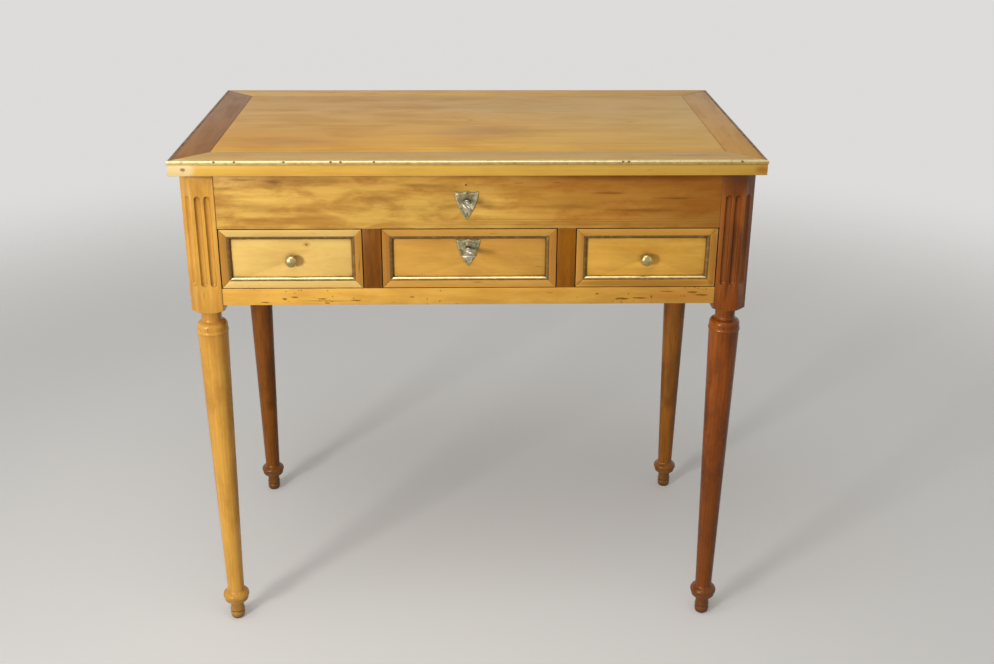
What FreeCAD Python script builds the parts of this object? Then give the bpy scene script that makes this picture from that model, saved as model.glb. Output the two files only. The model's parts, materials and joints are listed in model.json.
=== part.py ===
import FreeCAD, Part
import math
import os
import Sketcher

# A dressing table of about 1790 in cherry wood: a case on four turned legs, three small
# drawers, and a hinged lid over a shallow well, with brass beads, locks and keys.
# Millimetres. X is to the right, Y is to the back, Z is up. The origin is on the floor, at the
# middle of the whole table's outline.

doc = FreeCAD.newDocument("dressing_table")

SIZES = {
    # The table as a whole
    "table_height": 740.0,
    "case_width": 780.0,
    "case_depth": 451.0,
    "cut_overrun": 2.0,
    # Legs: a square block above, turned below
    "post_size": 47.0,
    "post_cant": 14.5,
    "block_drop": 11.5,
    "block_foot_radius": 24.4,
    "block_foot_round": 9.2,
    "turning_inset": 1.5,
    "cap_height": 4.5,
    "cap_radius": 14.8,
    "neck_height": 10.0,
    "neck_radius": 14.0,
    "throat_height": 4.5,
    "throat_radius": 16.8,
    "shoulder_height": 7.0,
    "shoulder_radius": 21.6,
    "collar_height": 5.5,
    "astragal_height": 5.0,
    "leg_top_radius": 21.5,
    "ankle_radius": 12.4,
    "cove_height": 3.5,
    "ring_top_radius": 15.0,
    "ring_upper_height": 11.0,
    "ring_score_radius": 18.0,
    "ring_score": 0.7,
    "ring_lower_height": 5.5,
    "ring_foot_radius": 12.6,
    "shin_top_radius": 10.4,
    "shin_height": 15.5,
    "shin_foot_radius": 11.0,
    "groove_height": 1.6,
    "groove_radius": 8.6,
    "ball_height": 13.2,
    "ball_radius": 10.4,
    "sole_radius": 6.6,
    # Flutes on the blocks
    "flute_width": 8.8,
    "flute_depth": 3.4,
    "flute_top_margin": 31.0,
    "flute_foot_margin": 38.5,
    "flute_inner_margin": 10.0,
    "flute_pitch": 12.9,
    "cant_flute_width": 11.0,
    "cant_flute_shift": 4.6,
    # Case boards
    "panel_setback": 0.8,
    "side_thickness": 18.0,
    "back_thickness": 18.0,
    "frieze_height": 77.0,
    "frieze_thickness": 22.0,
    "drawer_opening": 86.5,
    "rail_height": 24.5,
    "rail_depth": 34.0,
    "divider_width": 25.0,
    "divider_depth": 22.0,
    "centre_opening": 242.0,
    "tenon_length": 12.0,
    "tenon_thickness": 8.0,
    "tenon_shoulder": 5.0,
    "divider_tenon": 7.0,
    "floor_thickness": 7.0,
    "floor_raise": 10.0,
    "floor_groove": 5.0,
    "runner_thickness": 14.0,
    "runner_ledge": 14.0,
    "guide_height": 20.0,
    "stop_height": 4.0,
    "stop_depth": 8.0,
    "stop_width": 24.0,
    # Lid
    "lid_thickness": 20.5,
    "lid_gap": 0.3,
    "lid_overhang": 12.0,
    "lid_side_overhang": 9.0,
    "lid_frame_width": 48.0,
    "lid_panel_thickness": 13.0,
    "tongue_length": 8.0,
    "tongue_thickness": 5.0,
    "tongue_rise": 3.5,
    "joint_gap": 0.3,
    "lid_bead_height": 5.0,
    "lid_bead_depth": 4.5,
    "lid_bead_proud": 1.0,
    "lid_bead_round": 3.2,
    "mirror_thickness": 4.0,
    "mirror_frame_width": 16.0,
    "mirror_rebate": 7.0,
    # Drawers
    "drawer_gap": 1.3,
    "drawer_foot_gap": 0.9,
    "running_gap": 0.3,
    "front_thickness": 16.0,
    "moulding_width": 10.0,
    "moulding_outer": 5.0,
    "moulding_inner": 4.2,
    "drawer_bead_width": 4.8,
    "drawer_bead_height": 3.8,
    "drawer_bead_round": 2.6,
    "drawer_back_gap": 26.4,
    "drawer_side": 9.0,
    "drawer_side_drop": 3.0,
    "drawer_back": 9.0,
    "drawer_bottom": 5.0,
    "bottom_rise": 7.0,
    "bottom_groove": 4.0,
    "tail_length": 9.5,
    "tail_root": 15.0,
    "tail_flare": 2.5,
    # Knobs
    "knob_drop": 2.0,
    "knob_radius": 8.2,
    "knob_reach": 15.0,
    "knob_dome": 3.6,
    "knob_rim": 2.0,
    "knob_neck_radius": 3.4,
    "knob_base_radius": 5.2,
    "knob_base_height": 1.6,
    "knob_stem_radius": 2.0,
    "knob_stem_length": 12.0,
    # Locks, keys and their plates
    "lid_lock_x": -3.6,
    "lid_lock_width": 60.0,
    "lid_lock_height": 54.0,
    "lid_key_drop": 38.0,
    "drawer_lock_x": -1.6,
    "drawer_lock_width": 52.0,
    "drawer_lock_height": 46.0,
    "drawer_key_drop": 28.8,
    "lock_depth": 10.6,
    "lock_wall": 1.2,
    "bolt_thickness": 3.0,
    "bolt_clearance": 0.3,
    "bolt_height": 4.0,
    "bolt_drop": 6.5,
    "bolt_plate_height": 21.0,
    "bolt_length": 23.0,
    "bolt_start": 3.0,
    "drawer_bolt_width": 18.0,
    "drawer_bolt_height": 19.0,
    "drawer_bolt_throw": 7.0,
    "lid_bolt_throw": 9.0,
    "staple_wall": 1.0,
    "staple_thickness": 3.0,
    "staple_drop": 12.5,
    "keeper_width": 44.0,
    "keeper_depth": 14.0,
    "keeper_thickness": 1.6,
    "key_reach": 38.0,
    "key_shaft_radius": 2.5,
    "key_collar_radius": 3.7,
    "key_collar_length": 2.6,
    "key_bow_radius": 8.4,
    "key_bow_wire": 1.9,
    "key_bit_radius": 9.0,
    "key_bit_length": 3.5,
    "key_bit_thickness": 2.2,
    "keyhole_radius": 3.2,
    "keyhole_slot": 3.2,
    "shield_half_width": 16.4,
    "shield_height": 38.5,
    "shield_tip_rise": 0.8,
    "shield_thickness": 1.2,
    "shield_key_drop": 13.0,
    "nail_head_radius": 1.3,
    "nail_head_height": 0.7,
    "nail_radius": 0.6,
    "nail_length": 5.0,
    "nail_inset": 4.2,
    # Hinges and screws
    "hinge_length": 50.0,
    "hinge_inset": 130.0,
    "hinge_leaf_width": 14.0,
    "hinge_leaf_thickness": 1.6,
    "knuckle_radius": 3.2,
    "knuckle_gap": 0.2,
    "hinge_pin_radius": 1.5,
    "hinge_pin_clearance": 0.05,
    "hinge_back_gap": 0.3,
    "screw_head_radius": 2.8,
    "screw_radius": 1.3,
    "screw_length": 11.0,
    "screw_clearance": 0.05,
    "screw_spacing": 16.0,
}

# How far the two keys are turned from upright, in degrees anticlockwise seen from the front.
KEY_TURNS = {"lid_key": 48.0, "drawer_key": 90.0}

# Heights of the two dovetails on each drawer side, as shares of the side's height.
TAIL_SHARES = (0.36, 0.74)

sheet = doc.addObject("Spreadsheet::Sheet", "sizes")
for row, (alias, value) in enumerate(SIZES.items(), start=1):
    sheet.set(f"A{row}", alias)
    sheet.set(f"B{row}", str(value))
    sheet.setAlias(f"B{row}", alias)
doc.recompute()


class Formula:
    """A length from the sheet, or one worked out from such lengths, with its expression."""

    def __init__(self, value, text):
        self.value = value
        self.text = text

    def __add__(self, other):
        other = formula(other)
        return Formula(self.value + other.value, f"({self.text} + {other.text})")

    def __sub__(self, other):
        other = formula(other)
        return Formula(self.value - other.value, f"({self.text} - {other.text})")

    def __mul__(self, other):
        other = formula(other)
        return Formula(self.value * other.value, f"({self.text} * {other.text})")

    def __truediv__(self, other):
        other = formula(other)
        return Formula(self.value / other.value, f"({self.text} / {other.text})")

    def __neg__(self):
        return Formula(-self.value, f"(0 - {self.text})")

    def root(self):
        return Formula(math.sqrt(self.value), f"sqrt({self.text})")

    __radd__ = __add__
    __rmul__ = __mul__


def formula(number):
    """A plain number as a Formula; a Formula as it is."""
    return number if isinstance(number, Formula) else Formula(float(number), str(number))


class Sheet:
    """Reads a cell of the sheet by its alias."""

    def __getattr__(self, alias):
        return Formula(float(sheet.get(alias)), f"sizes.{alias}")


s = Sheet()


def bind(target, path, length):
    target.setExpression(path, formula(length).text)


def place(solid, x, y, z, rotation=None):
    """Puts a solid at a point bound to the sheet, turned by a fixed rotation."""
    if rotation is not None:
        solid.Placement = FreeCAD.Placement(FreeCAD.Vector(), rotation)
    for axis, length in zip("xyz", (x, y, z)):
        bind(solid, f"Placement.Base.{axis}", length)
    return solid


X_AXIS = FreeCAD.Vector(1, 0, 0)
Y_AXIS = FreeCAD.Vector(0, 1, 0)
Z_AXIS = FreeCAD.Vector(0, 0, 1)
ALONG = {
    "x": FreeCAD.Rotation(Y_AXIS, 90),
    "y": FreeCAD.Rotation(X_AXIS, -90),
    "z": FreeCAD.Rotation(),
    "front": FreeCAD.Rotation(X_AXIS, 90),
    "down": FreeCAD.Rotation(X_AXIS, 180),
}


def box(name, x, y, z):
    """A board between two places along each axis."""
    solid = doc.addObject("Part::Box", name)
    for side, (low, high) in zip(("Length", "Width", "Height"), (x, y, z)):
        bind(solid, side, formula(high) - low)
    return place(solid, x[0], y[0], z[0])


def about(middle, half):
    """The two places that lie half to either side of a middle."""
    return (middle - half, middle + half)


def cylinder(name, radius, length, base, along="z"):
    solid = doc.addObject("Part::Cylinder", name)
    bind(solid, "Radius", radius)
    bind(solid, "Height", length)
    return place(solid, *base, ALONG[along])


def fused(name, *solids):
    joined = doc.addObject("Part::MultiFuse", name)
    joined.Shapes = list(solids)
    joined.Refine = True
    return joined


def cut(name, base, *tools):
    """The base less its tools."""
    result = doc.addObject("Part::Cut", name)
    result.Base = base
    result.Tool = tools[0] if len(tools) == 1 else fused(f"{name}_tools", *tools)
    result.Refine = True
    return result


def common(name, base, tool):
    result = doc.addObject("Part::Common", name)
    result.Base = base
    result.Tool = tool
    return result


def group(name, *solids):
    """Several separate solids as one sub-part."""
    together = doc.addObject("Part::Compound", name)
    together.Links = list(solids)
    return together


parts = []


def keep(label, solid):
    """Marks a finished sub-part."""
    solid.Label = label
    parts.append(solid)
    return solid


def arc_geometry(start, end, radius, left):
    """The arc from start to end that swells to the left or the right, and whether it runs backwards."""
    middle = (start + end) / 2
    across = end - start
    normal = FreeCAD.Vector(-across.y, across.x, 0).normalize()
    if not left:
        normal = -normal
    rise = math.sqrt(max(radius * radius - across.Length * across.Length / 4, 0))
    centre = middle - normal * rise
    backwards = left
    first, last = (end, start) if backwards else (start, end)
    angles = [math.atan2(point.y - centre.y, point.x - centre.x) for point in (first, last)]
    if angles[1] < angles[0]:
        angles[1] += 2 * math.pi
    return Part.ArcOfCircle(Part.Circle(centre, Z_AXIS, radius), *angles), backwards


def outline(sketch, points):
    """Draws a closed outline. Each point is (x, y), or (x, y, bulge) where an arc follows it: its
    radius is the bulge times the chord, and it swells to the left where the bulge is positive."""
    count = len(points)
    vectors = [FreeCAD.Vector(formula(p[0]).value, formula(p[1]).value, 0) for p in points]
    ends = []
    for index, point in enumerate(points):
        start, end = vectors[index], vectors[(index + 1) % count]
        if len(point) == 2:
            edge = sketch.addGeometry(Part.LineSegment(start, end), False)
            ends.append((edge, 1, 2))
            continue
        bulge = formula(point[2]).value
        shape, backwards = arc_geometry(start, end, (end - start).Length * abs(bulge), bulge > 0)
        edge = sketch.addGeometry(shape, False)
        ends.append((edge, 2, 1) if backwards else (edge, 1, 2))
    for index, (edge, _, last) in enumerate(ends):
        following = ends[(index + 1) % count]
        sketch.addConstraint(Sketcher.Constraint("Coincident", edge, last, following[0], following[1]))
    for index, point in enumerate(points):
        edge, first, _ = ends[index]
        fix_point(sketch, edge, first, point[0], point[1])
        if len(point) == 3:
            following = points[(index + 1) % count]
            bulge = formula(point[2])
            radius = chord(formula(following[0]) - point[0], formula(following[1]) - point[1])
            radius = radius * (bulge if bulge.value > 0 else -bulge)
            number = sketch.addConstraint(Sketcher.Constraint("Radius", edge, radius.value))
            bind(sketch, f"Constraints[{number}]", radius)


def chord(across, up):
    return (across * across + up * up).root()


def dome(radius, rise):
    """The bulge that makes an arc from the rim to the axis a true dome."""
    return -chord(radius, rise) / (rise * 2)


def fix_point(sketch, edge, end, x, y):
    """Holds a point of a sketch at its distances from the sketch's origin."""
    for kind, axis, length in (("DistanceX", -2, formula(x)), ("DistanceY", -1, formula(y))):
        if length.text == "0":
            sketch.addConstraint(Sketcher.Constraint("PointOnObject", edge, end, axis))
            continue
        number = sketch.addConstraint(Sketcher.Constraint(kind, -1, 1, edge, end, length.value))
        bind(sketch, f"Constraints[{number}]", length)


def new_sketch(body, plane, name):
    """A sketch on one of its body's own origin planes."""
    sketch = body.newObject("Sketcher::SketchObject", name)
    origin_plane = [f for f in body.Origin.OriginFeatures if f.Role == plane][0]
    sketch.AttachmentSupport = [(origin_plane, "")]
    sketch.MapMode = "FlatFace"
    return sketch


def new_body(name):
    return doc.addObject("PartDesign::Body", name)


def pad(body, sketch, length):
    feature = body.newObject("PartDesign::Pad", f"{sketch.Name}_pad")
    feature.Profile = sketch
    bind(feature, "Length", length)
    return feature


def turned(name, profile):
    """A turned piece: the outline of its half section, spun round the body's Z axis."""
    body = new_body(name)
    sketch = new_sketch(body, "XZ_Plane", f"{name}_profile")
    outline(sketch, profile)
    spin = body.newObject("PartDesign::Revolution", f"{name}_spin")
    spin.Profile = sketch
    spin.ReferenceAxis = (sketch, ["V_Axis"])
    spin.Angle = 360
    return body


def strip(name, length, width, outer, inner, mitres=(True, True)):
    """A straight strip with mitred ends, from its outer edge at y = 0 to its inner edge at y = width,
    outer thick at one edge and inner thick at the other, with its middle at x = 0."""
    solid = doc.addObject("Part::Wedge", name)
    half = formula(length) / 2
    low = half - width if mitres[0] else half
    high = half - width if mitres[1] else half
    for side, value in {
        "Xmin": -half, "Xmax": half, "X2min": -low, "X2max": high, "Ymin": 0, "Ymax": width,
        "Zmin": 0, "Zmax": outer, "Z2min": 0, "Z2max": inner,
    }.items():
        bind(solid, side, value)
    return solid


def around(width, depth):
    """The four sides of a frame: quarter turns, and the middle of each outer edge in its plane."""
    return (
        ("front", 0, formula(0), -depth / 2, width),
        ("right", 1, width / 2, formula(0), depth),
        ("back", 2, formula(0), depth / 2, width),
        ("left", 3, -width / 2, formula(0), depth),
    )


def quarter(turns, upright=False):
    """Turns a strip round its frame; an upright frame faces the front."""
    spin = FreeCAD.Rotation(Z_AXIS, 90 * turns)
    return ALONG["front"].multiply(spin) if upright else spin


# Places that several pieces share
half_case = s.case_width / 2
face_y = (s.key_reach - s.case_depth - s.hinge_back_gap - s.knuckle_radius * 2) / 2
back_y = face_y + s.case_depth
board_y = face_y + s.panel_setback
inner_x = half_case - s.post_size
lid_bottom = s.table_height - s.lid_thickness
case_top = lid_bottom - s.lid_gap
seam_z = case_top - s.frieze_height
rail_top = seam_z - s.drawer_opening
rail_bottom = rail_top - s.rail_height
block_bottom = rail_bottom - s.block_drop
frieze_back = board_y + s.frieze_thickness
side_inside = half_case - s.panel_setback - s.side_thickness
back_inside = back_y - s.panel_setback - s.back_thickness
side_opening = inner_x - s.centre_opening / 2 - s.divider_width
divider_x = s.centre_opening / 2 + s.divider_width / 2
side_drawer_x = inner_x - side_opening / 2
floor_bottom = seam_z + s.floor_raise
floor_top = floor_bottom + s.floor_thickness
hinge_y = back_y + s.hinge_back_gap + s.knuckle_radius
hinge_z = case_top + s.lid_gap / 2
lid_lock_back = frieze_back
lid_key_z = case_top - s.lid_key_drop
plank_front = board_y + s.moulding_outer
plank_back = plank_front + s.front_thickness
front_bottom = rail_top + s.drawer_foot_gap
front_top = seam_z - s.drawer_gap
drawer_key_z = front_top - s.drawer_key_drop
knob_z = (front_bottom + front_top) / 2 - s.knob_drop


def leg_profile():
    """Half section of the turned leg, from the sole up into the block."""
    shin_foot = s.ball_height + s.groove_height
    ring_foot = shin_foot + s.shin_height
    score_low = ring_foot + s.ring_lower_height
    score_high = score_low + s.ring_score * 2
    ring_top = score_high + s.ring_upper_height
    cap_foot = block_bottom - s.cap_height
    neck_foot = cap_foot - s.neck_height
    throat_foot = neck_foot - s.throat_height
    shoulder_foot = throat_foot - s.shoulder_height
    astragal_top = shoulder_foot - s.collar_height
    astragal_foot = astragal_top - s.astragal_height
    return [
        (0, 0),
        (s.sole_radius, 0, -0.75),
        (s.ball_radius, s.ball_height / 2, -0.75),
        (s.groove_radius, s.ball_height),
        (s.groove_radius, shin_foot),
        (s.shin_foot_radius, shin_foot, 2.5),
        (s.shin_top_radius, ring_foot),
        (s.ring_foot_radius, ring_foot, -0.68),
        (s.ring_score_radius, score_low),
        (s.ring_score_radius - s.ring_score, score_low + s.ring_score),
        (s.ring_score_radius, score_high, -0.6),
        (s.ring_top_radius, ring_top, 0.85),
        (s.ankle_radius, ring_top + s.cove_height),
        (s.leg_top_radius, astragal_foot, -0.7),
        (s.leg_top_radius, astragal_top),
        (s.shoulder_radius, shoulder_foot, -0.85),
        (s.throat_radius, throat_foot, 0.85),
        (s.neck_radius, neck_foot),
        (s.neck_radius, cap_foot),
        (s.cap_radius, cap_foot, -1.2),
        (s.cap_radius, block_bottom),
        (0, block_bottom),
    ]


def flute(name, x, y, axis_out, width):
    """A cutter for one flute: a round bar with round ends, standing a little out of the face."""
    half_width = width / 2
    radius = (half_width * half_width + s.flute_depth * s.flute_depth) / (s.flute_depth * 2)
    out = radius - s.flute_depth
    low = block_bottom + s.flute_foot_margin + half_width
    high = case_top - s.flute_top_margin - half_width
    centre = (x + out * axis_out[0], y + out * axis_out[1])
    bar = cylinder(f"{name}_bar", radius, high - low, (*centre, low))
    ends = []
    for end, z in (("low", low), ("high", high)):
        ball = doc.addObject("Part::Sphere", f"{name}_{end}")
        bind(ball, "Radius", radius)
        ends.append(place(ball, *centre, z))
    return fused(name, bar, *ends)


def block(name, side, cant):
    """The square block of a leg, with its foot rounded on the lathe. Its outer front corner is canted
    where cant is not zero."""
    half = s.post_size / 2
    outer = half * side
    corners = [(-outer, -half), (outer - cant * side, -half), (outer, -half + cant), (outer, half)]
    if not isinstance(cant, Formula):
        corners = [(-outer, -half), (outer, -half), (outer, half)]
    corners.append((-outer, half))
    body = new_body(name)
    sketch = new_sketch(body, "XY_Plane", f"{name}_plan")
    outline(sketch, corners)
    pad(body, sketch, case_top - block_bottom)
    widest = s.block_foot_radius + s.block_foot_round
    envelope = turned(f"{name}_envelope", [
        (0, 0),
        (s.block_foot_radius, 0, -math.sqrt(0.5)),
        (widest, s.block_foot_round),
        (widest, case_top - block_bottom),
        (0, case_top - block_bottom),
    ])
    return common(f"{name}_rounded", body, envelope)


def mortise(name, side_x, row, kind):
    """The hole in a block for the tenon of a board; row is -1 at the front and 1 at the back."""
    over = s.cut_overrun
    if kind == "cross":
        thickness = s.frieze_thickness if row < 0 else s.back_thickness
        middle = board_y + thickness / 2 if row < 0 else back_y - s.panel_setback - thickness / 2
        x_low, x_high = inner_x - over, inner_x + s.tenon_length
        if side_x < 0:
            x_low, x_high = -x_high, -x_low
        y = (middle - s.tenon_thickness / 2, middle + s.tenon_thickness / 2)
        return [(f"{name}_{place_name}", (x_low, x_high), y, z) for place_name, z in cross_tenons(row)]
    middle = (half_case - s.panel_setback - s.side_thickness / 2) * side_x
    x = (middle - s.tenon_thickness / 2, middle + s.tenon_thickness / 2)
    if row < 0:
        y = (face_y + s.post_size - s.tenon_length, face_y + s.post_size + over)
    else:
        y = (back_y - s.post_size - over, back_y - s.post_size + s.tenon_length)
    return [(f"{name}_side", x, y, tall_tenon())]


def tall_tenon():
    return (rail_bottom + s.tenon_shoulder, case_top - s.tenon_shoulder)


def cross_tenons(row):
    """Heights of the tenons between two posts: frieze and rail in front, the back board behind."""
    if row > 0:
        return [("back", tall_tenon())]
    return [
        ("frieze", (seam_z + s.tenon_shoulder, case_top - s.tenon_shoulder)),
        ("rail", (rail_bottom + s.tenon_shoulder, rail_top - s.tenon_shoulder)),
    ]


def leg(label, side, row):
    """One leg: side is -1 on the left and 1 on the right, row is -1 at the front and 1 at the back."""
    half = s.post_size / 2
    x = (half_case - half) * side
    y = face_y + half if row < 0 else back_y - half
    turning = place(turned(f"{label}_turning", leg_profile()), x - s.turning_inset * side, y, 0)
    cant = s.post_cant if row < 0 else 0
    square = place(block(f"{label}_block", side, cant), x, y, block_bottom)
    blank = fused(f"{label}_blank", turning, square)
    tools = []
    for kind in ("cross", "side"):
        for name, xs, ys, zs in mortise(f"{label}_mortise", side, row, kind):
            tools.append(box(name, xs, ys, zs))
    for number in range(2):
        step = half - s.flute_inner_margin - s.flute_pitch * number
        if row < 0:
            name = f"{label}_flute_front{number}"
            tools.append(flute(name, x - step * side, face_y, (0, -1), s.flute_width))
        side_y = y + step if row < 0 else y - step
        tools.append(flute(f"{label}_flute_side{number}", half_case * side, side_y, (side, 0), s.flute_width))
    if row < 0:
        slope = math.sqrt(0.5)
        inward = s.post_cant - s.cant_flute_shift
        middle = (x + (half - inward) * side, y - half + s.cant_flute_shift)
        tools.append(flute(f"{label}_flute_cant", *middle, (slope * side, -slope), s.cant_flute_width))
    return keep(label, cut(f"{label}_cut", blank, *tools))


for leg_name, leg_side, leg_row in (
    ("front_left_leg", -1, -1),
    ("front_right_leg", 1, -1),
    ("back_left_leg", -1, 1),
    ("back_right_leg", 1, 1),
):
    leg(leg_name, leg_side, leg_row)


def keyhole_tools(name, x, z, y, grow):
    """Cutters for a keyhole: a round hole over a slot, through the board between two places."""
    radius = s.keyhole_radius + grow
    slot = s.keyhole_slot / 2 + grow
    drop = s.key_bit_radius + grow
    return [
        cylinder(f"{name}_hole", radius, y[1] - y[0], (x, y[0], z), "y"),
        box(f"{name}_slot", (x - slot, x + slot), y, (z - drop, z)),
    ]


def nail_places(x, top):
    """The three nails of a shield: beside its upper tips, and above its point."""
    across = s.shield_half_width - s.nail_inset
    return [
        ("left", x - across, top - s.nail_inset),
        ("right", x + across, top - s.nail_inset),
        ("point", x, top - s.shield_height + s.nail_inset * 1.6),
    ]


def nail_holes(name, x, y, top):
    radius = s.nail_radius + s.screw_clearance
    length = s.nail_length + s.screw_clearance * 2
    start = y - s.shield_thickness
    return [
        cylinder(f"{name}_{end}", radius, length, (nail_x, start, nail_z), "y")
        for end, nail_x, nail_z in nail_places(x, top)
    ]


def tenoned(name, x, y, z, tenon_y, tenon_z):
    """A board between the posts of one row, with a tenon at both ends."""
    board = box(f"{name}_board", x, y, z)
    tongue = (x[0] - s.tenon_length, x[1] + s.tenon_length)
    tenon = box(f"{name}_tenon", tongue, tenon_y, tenon_z)
    return fused(f"{name}_blank", board, tenon)


def divider_tenon_box(name, side, z):
    """The tongue of a divider, or the mortise that it sits in."""
    middle_x = divider_x * side
    middle_y = board_y + s.divider_depth / 2
    half_x = s.divider_width / 2 - s.tenon_shoulder
    half_y = s.tenon_thickness / 2
    return box(name, about(middle_x, half_x), about(middle_y, half_y), z)


across_front = (-inner_x, inner_x)
frieze_middle = board_y + s.frieze_thickness / 2
half_tenon = s.tenon_thickness / 2
front_tenon = (frieze_middle - half_tenon, frieze_middle + half_tenon)
tall_z = (rail_bottom, case_top)
drawer_bolt_back = plank_back - s.lock_wall - s.bolt_clearance
drawer_bolt_front = drawer_bolt_back - s.bolt_thickness
lid_bolt_back = lid_lock_back - s.lock_wall - s.bolt_clearance
lid_bolt_front = lid_bolt_back - s.bolt_thickness
lid_bolt_middle = (lid_bolt_back + lid_bolt_front) / 2
shield_top = lid_key_z + s.shield_key_drop
drawer_shield_top = drawer_key_z + s.shield_key_drop


def front_frieze():
    over = s.cut_overrun
    blank = tenoned(
        "front_frieze", across_front, (board_y, frieze_back), (seam_z, case_top),
        front_tenon, cross_tenons(-1)[0][1],
    )
    half_lock = s.lid_lock_width / 2
    lock_y = frieze_back - s.lock_depth
    tools = [
        box("frieze_floor_groove", across_front, (frieze_back - s.floor_groove, frieze_back + over),
            (floor_bottom, floor_top)),
        box("frieze_lock_mortise", about(s.lid_lock_x, half_lock), (lock_y, frieze_back + over),
            (case_top - s.lid_lock_height, case_top + over)),
        box("frieze_bolt_slot", about(s.drawer_lock_x, s.drawer_bolt_width / 2 + s.bolt_clearance),
            (drawer_bolt_front - s.bolt_clearance, drawer_bolt_back + s.bolt_clearance),
            (seam_z - over, seam_z + s.drawer_bolt_throw + s.drawer_gap)),
    ]
    tools += keyhole_tools("frieze_keyhole", s.lid_lock_x, lid_key_z, (board_y - over, lock_y + over),
                           s.bolt_clearance)
    tools += nail_holes("frieze_nail_hole", s.lid_lock_x, board_y, shield_top)
    for name, side in (("left", -1), ("right", 1)):
        mortise_z = (seam_z - over, seam_z + s.divider_tenon)
        tools.append(divider_tenon_box(f"frieze_{name}_mortise", side, mortise_z))
    keep("front_frieze", cut("front_frieze_cut", blank, *tools))


def front_bottom_rail():
    blank = tenoned(
        "front_bottom_rail", across_front, (board_y, board_y + s.rail_depth), (rail_bottom, rail_top),
        front_tenon, cross_tenons(-1)[1][1],
    )
    mortise_z = (rail_top - s.divider_tenon, rail_top + s.cut_overrun)
    tools = [
        divider_tenon_box(f"rail_{name}_mortise", side, mortise_z)
        for name, side in (("left", -1), ("right", 1))
    ]
    keep("front_bottom_rail", cut("front_bottom_rail_cut", blank, *tools))


def divider(label, side):
    middle = divider_x * side
    half = s.divider_width / 2
    board = box(f"{label}_board", (middle - half, middle + half), (board_y, board_y + s.divider_depth),
                (rail_top, seam_z))
    tongue_z = (rail_top - s.divider_tenon, seam_z + s.divider_tenon)
    tongue = divider_tenon_box(f"{label}_tongue", side, tongue_z)
    keep(label, fused(f"{label}_fused", board, tongue))


def side_panel(label, side):
    """The board between a front and a back leg, with its tenons and the groove for the floor."""
    near, far = side_inside * side, (side_inside + s.side_thickness) * side
    x = (near, far) if side > 0 else (far, near)
    middle = (near + far) / 2
    front, back = face_y + s.post_size, back_y - s.post_size
    board = box(f"{label}_board", x, (front, back), tall_z)
    tongue = box(f"{label}_tongue", (middle - half_tenon, middle + half_tenon),
                 (front - s.tenon_length, back + s.tenon_length), tall_tenon())
    over = s.cut_overrun
    slot = (near - over * side, near + s.floor_groove * side)
    slot_x = slot if side > 0 else slot[::-1]
    groove = box(f"{label}_groove", slot_x, (front, back), (floor_bottom, floor_top))
    keep(label, cut(f"{label}_cut", fused(f"{label}_blank", board, tongue), groove))


def screw_places(x_middle):
    return [(f"{number}", x_middle + s.screw_spacing * (number - 1)) for number in range(3)]


screw_y = back_y - s.panel_setback - s.hinge_leaf_width / 2


def hinge_sides():
    reach = half_case - s.hinge_inset
    return (("left", -reach), ("right", reach))


def back_panel():
    over = s.cut_overrun
    middle = back_inside + s.back_thickness / 2
    blank = tenoned(
        "back_panel", across_front, (back_inside, back_y - s.panel_setback), tall_z,
        (middle - half_tenon, middle + half_tenon), tall_tenon(),
    )
    tools = [box("back_floor_groove", across_front, (back_inside - over, back_inside + s.floor_groove),
                 (floor_bottom, floor_top))]
    for name, x in hinge_sides():
        half = s.hinge_length / 2
        leaf_y = back_y - s.panel_setback - s.hinge_leaf_width
        tools.append(box(f"back_leaf_{name}", (x - half, x + half), (leaf_y, back_y + over),
                         (case_top - s.hinge_leaf_thickness, case_top + over)))
        for number, screw_x in screw_places(x):
            tools.append(cylinder(f"back_screw_{name}_{number}", s.screw_radius + s.screw_clearance,
                                  s.screw_length + over, (screw_x, screw_y, case_top - s.screw_length)))
    keep("back_panel", cut("back_panel_cut", blank, *tools))


def well_floor():
    """The floor of the well, let into the boards round it and notched round the four legs."""
    groove = s.floor_groove
    x = (-side_inside - groove, side_inside + groove)
    y = (frieze_back - groove, back_inside + groove)
    z = (floor_bottom, floor_top)
    notch_z = (z[0] - s.cut_overrun, z[1] + s.cut_overrun)
    front_y, rear_y = (face_y, face_y + s.post_size), (back_y - s.post_size, back_y)
    notches = []
    for name, xs in (("left", (-half_case, -inner_x)), ("right", (inner_x, half_case))):
        notches.append(box(f"floor_front_{name}", xs, front_y, notch_z))
        notches.append(box(f"floor_back_{name}", xs, rear_y, notch_z))
    keep("well_floor", cut("well_floor_cut", box("well_floor_board", x, y, z), *notches))


def drawer_runners():
    """Four runners with their guides: one at each side and one behind each divider."""
    front = board_y + s.rail_depth
    ledge_z = (rail_top - s.runner_thickness, rail_top)
    guide_z = (ledge_z[0], rail_top + s.guide_height)
    runners = []
    for name, side in (("left", -1), ("right", 1)):
        ledge_x = (inner_x - s.runner_ledge, inner_x)
        guide_x = (inner_x, side_inside)
        if side < 0:
            ledge_x, guide_x = (-ledge_x[1], -ledge_x[0]), (-guide_x[1], -guide_x[0])
        ledge = box(f"runner_{name}_ledge", ledge_x, (front, back_inside), ledge_z)
        guide = box(f"runner_{name}_guide", guide_x, (face_y + s.post_size, back_y - s.post_size), guide_z)
        runners.append(fused(f"runner_{name}", ledge, guide))
        middle = divider_x * side
        wide = s.divider_width / 2 + s.runner_ledge
        ledge = box(f"runner_mid_{name}_ledge", (middle - wide, middle + wide), (front, back_inside), ledge_z)
        half = s.divider_width / 2
        guide = box(f"runner_mid_{name}_guide", (middle - half, middle + half),
                    (board_y + s.divider_depth, back_inside), (rail_top, guide_z[1]))
        runners.append(fused(f"runner_mid_{name}", ledge, guide))
    keep("drawer_runners", group("drawer_runners_group", *runners))


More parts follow.
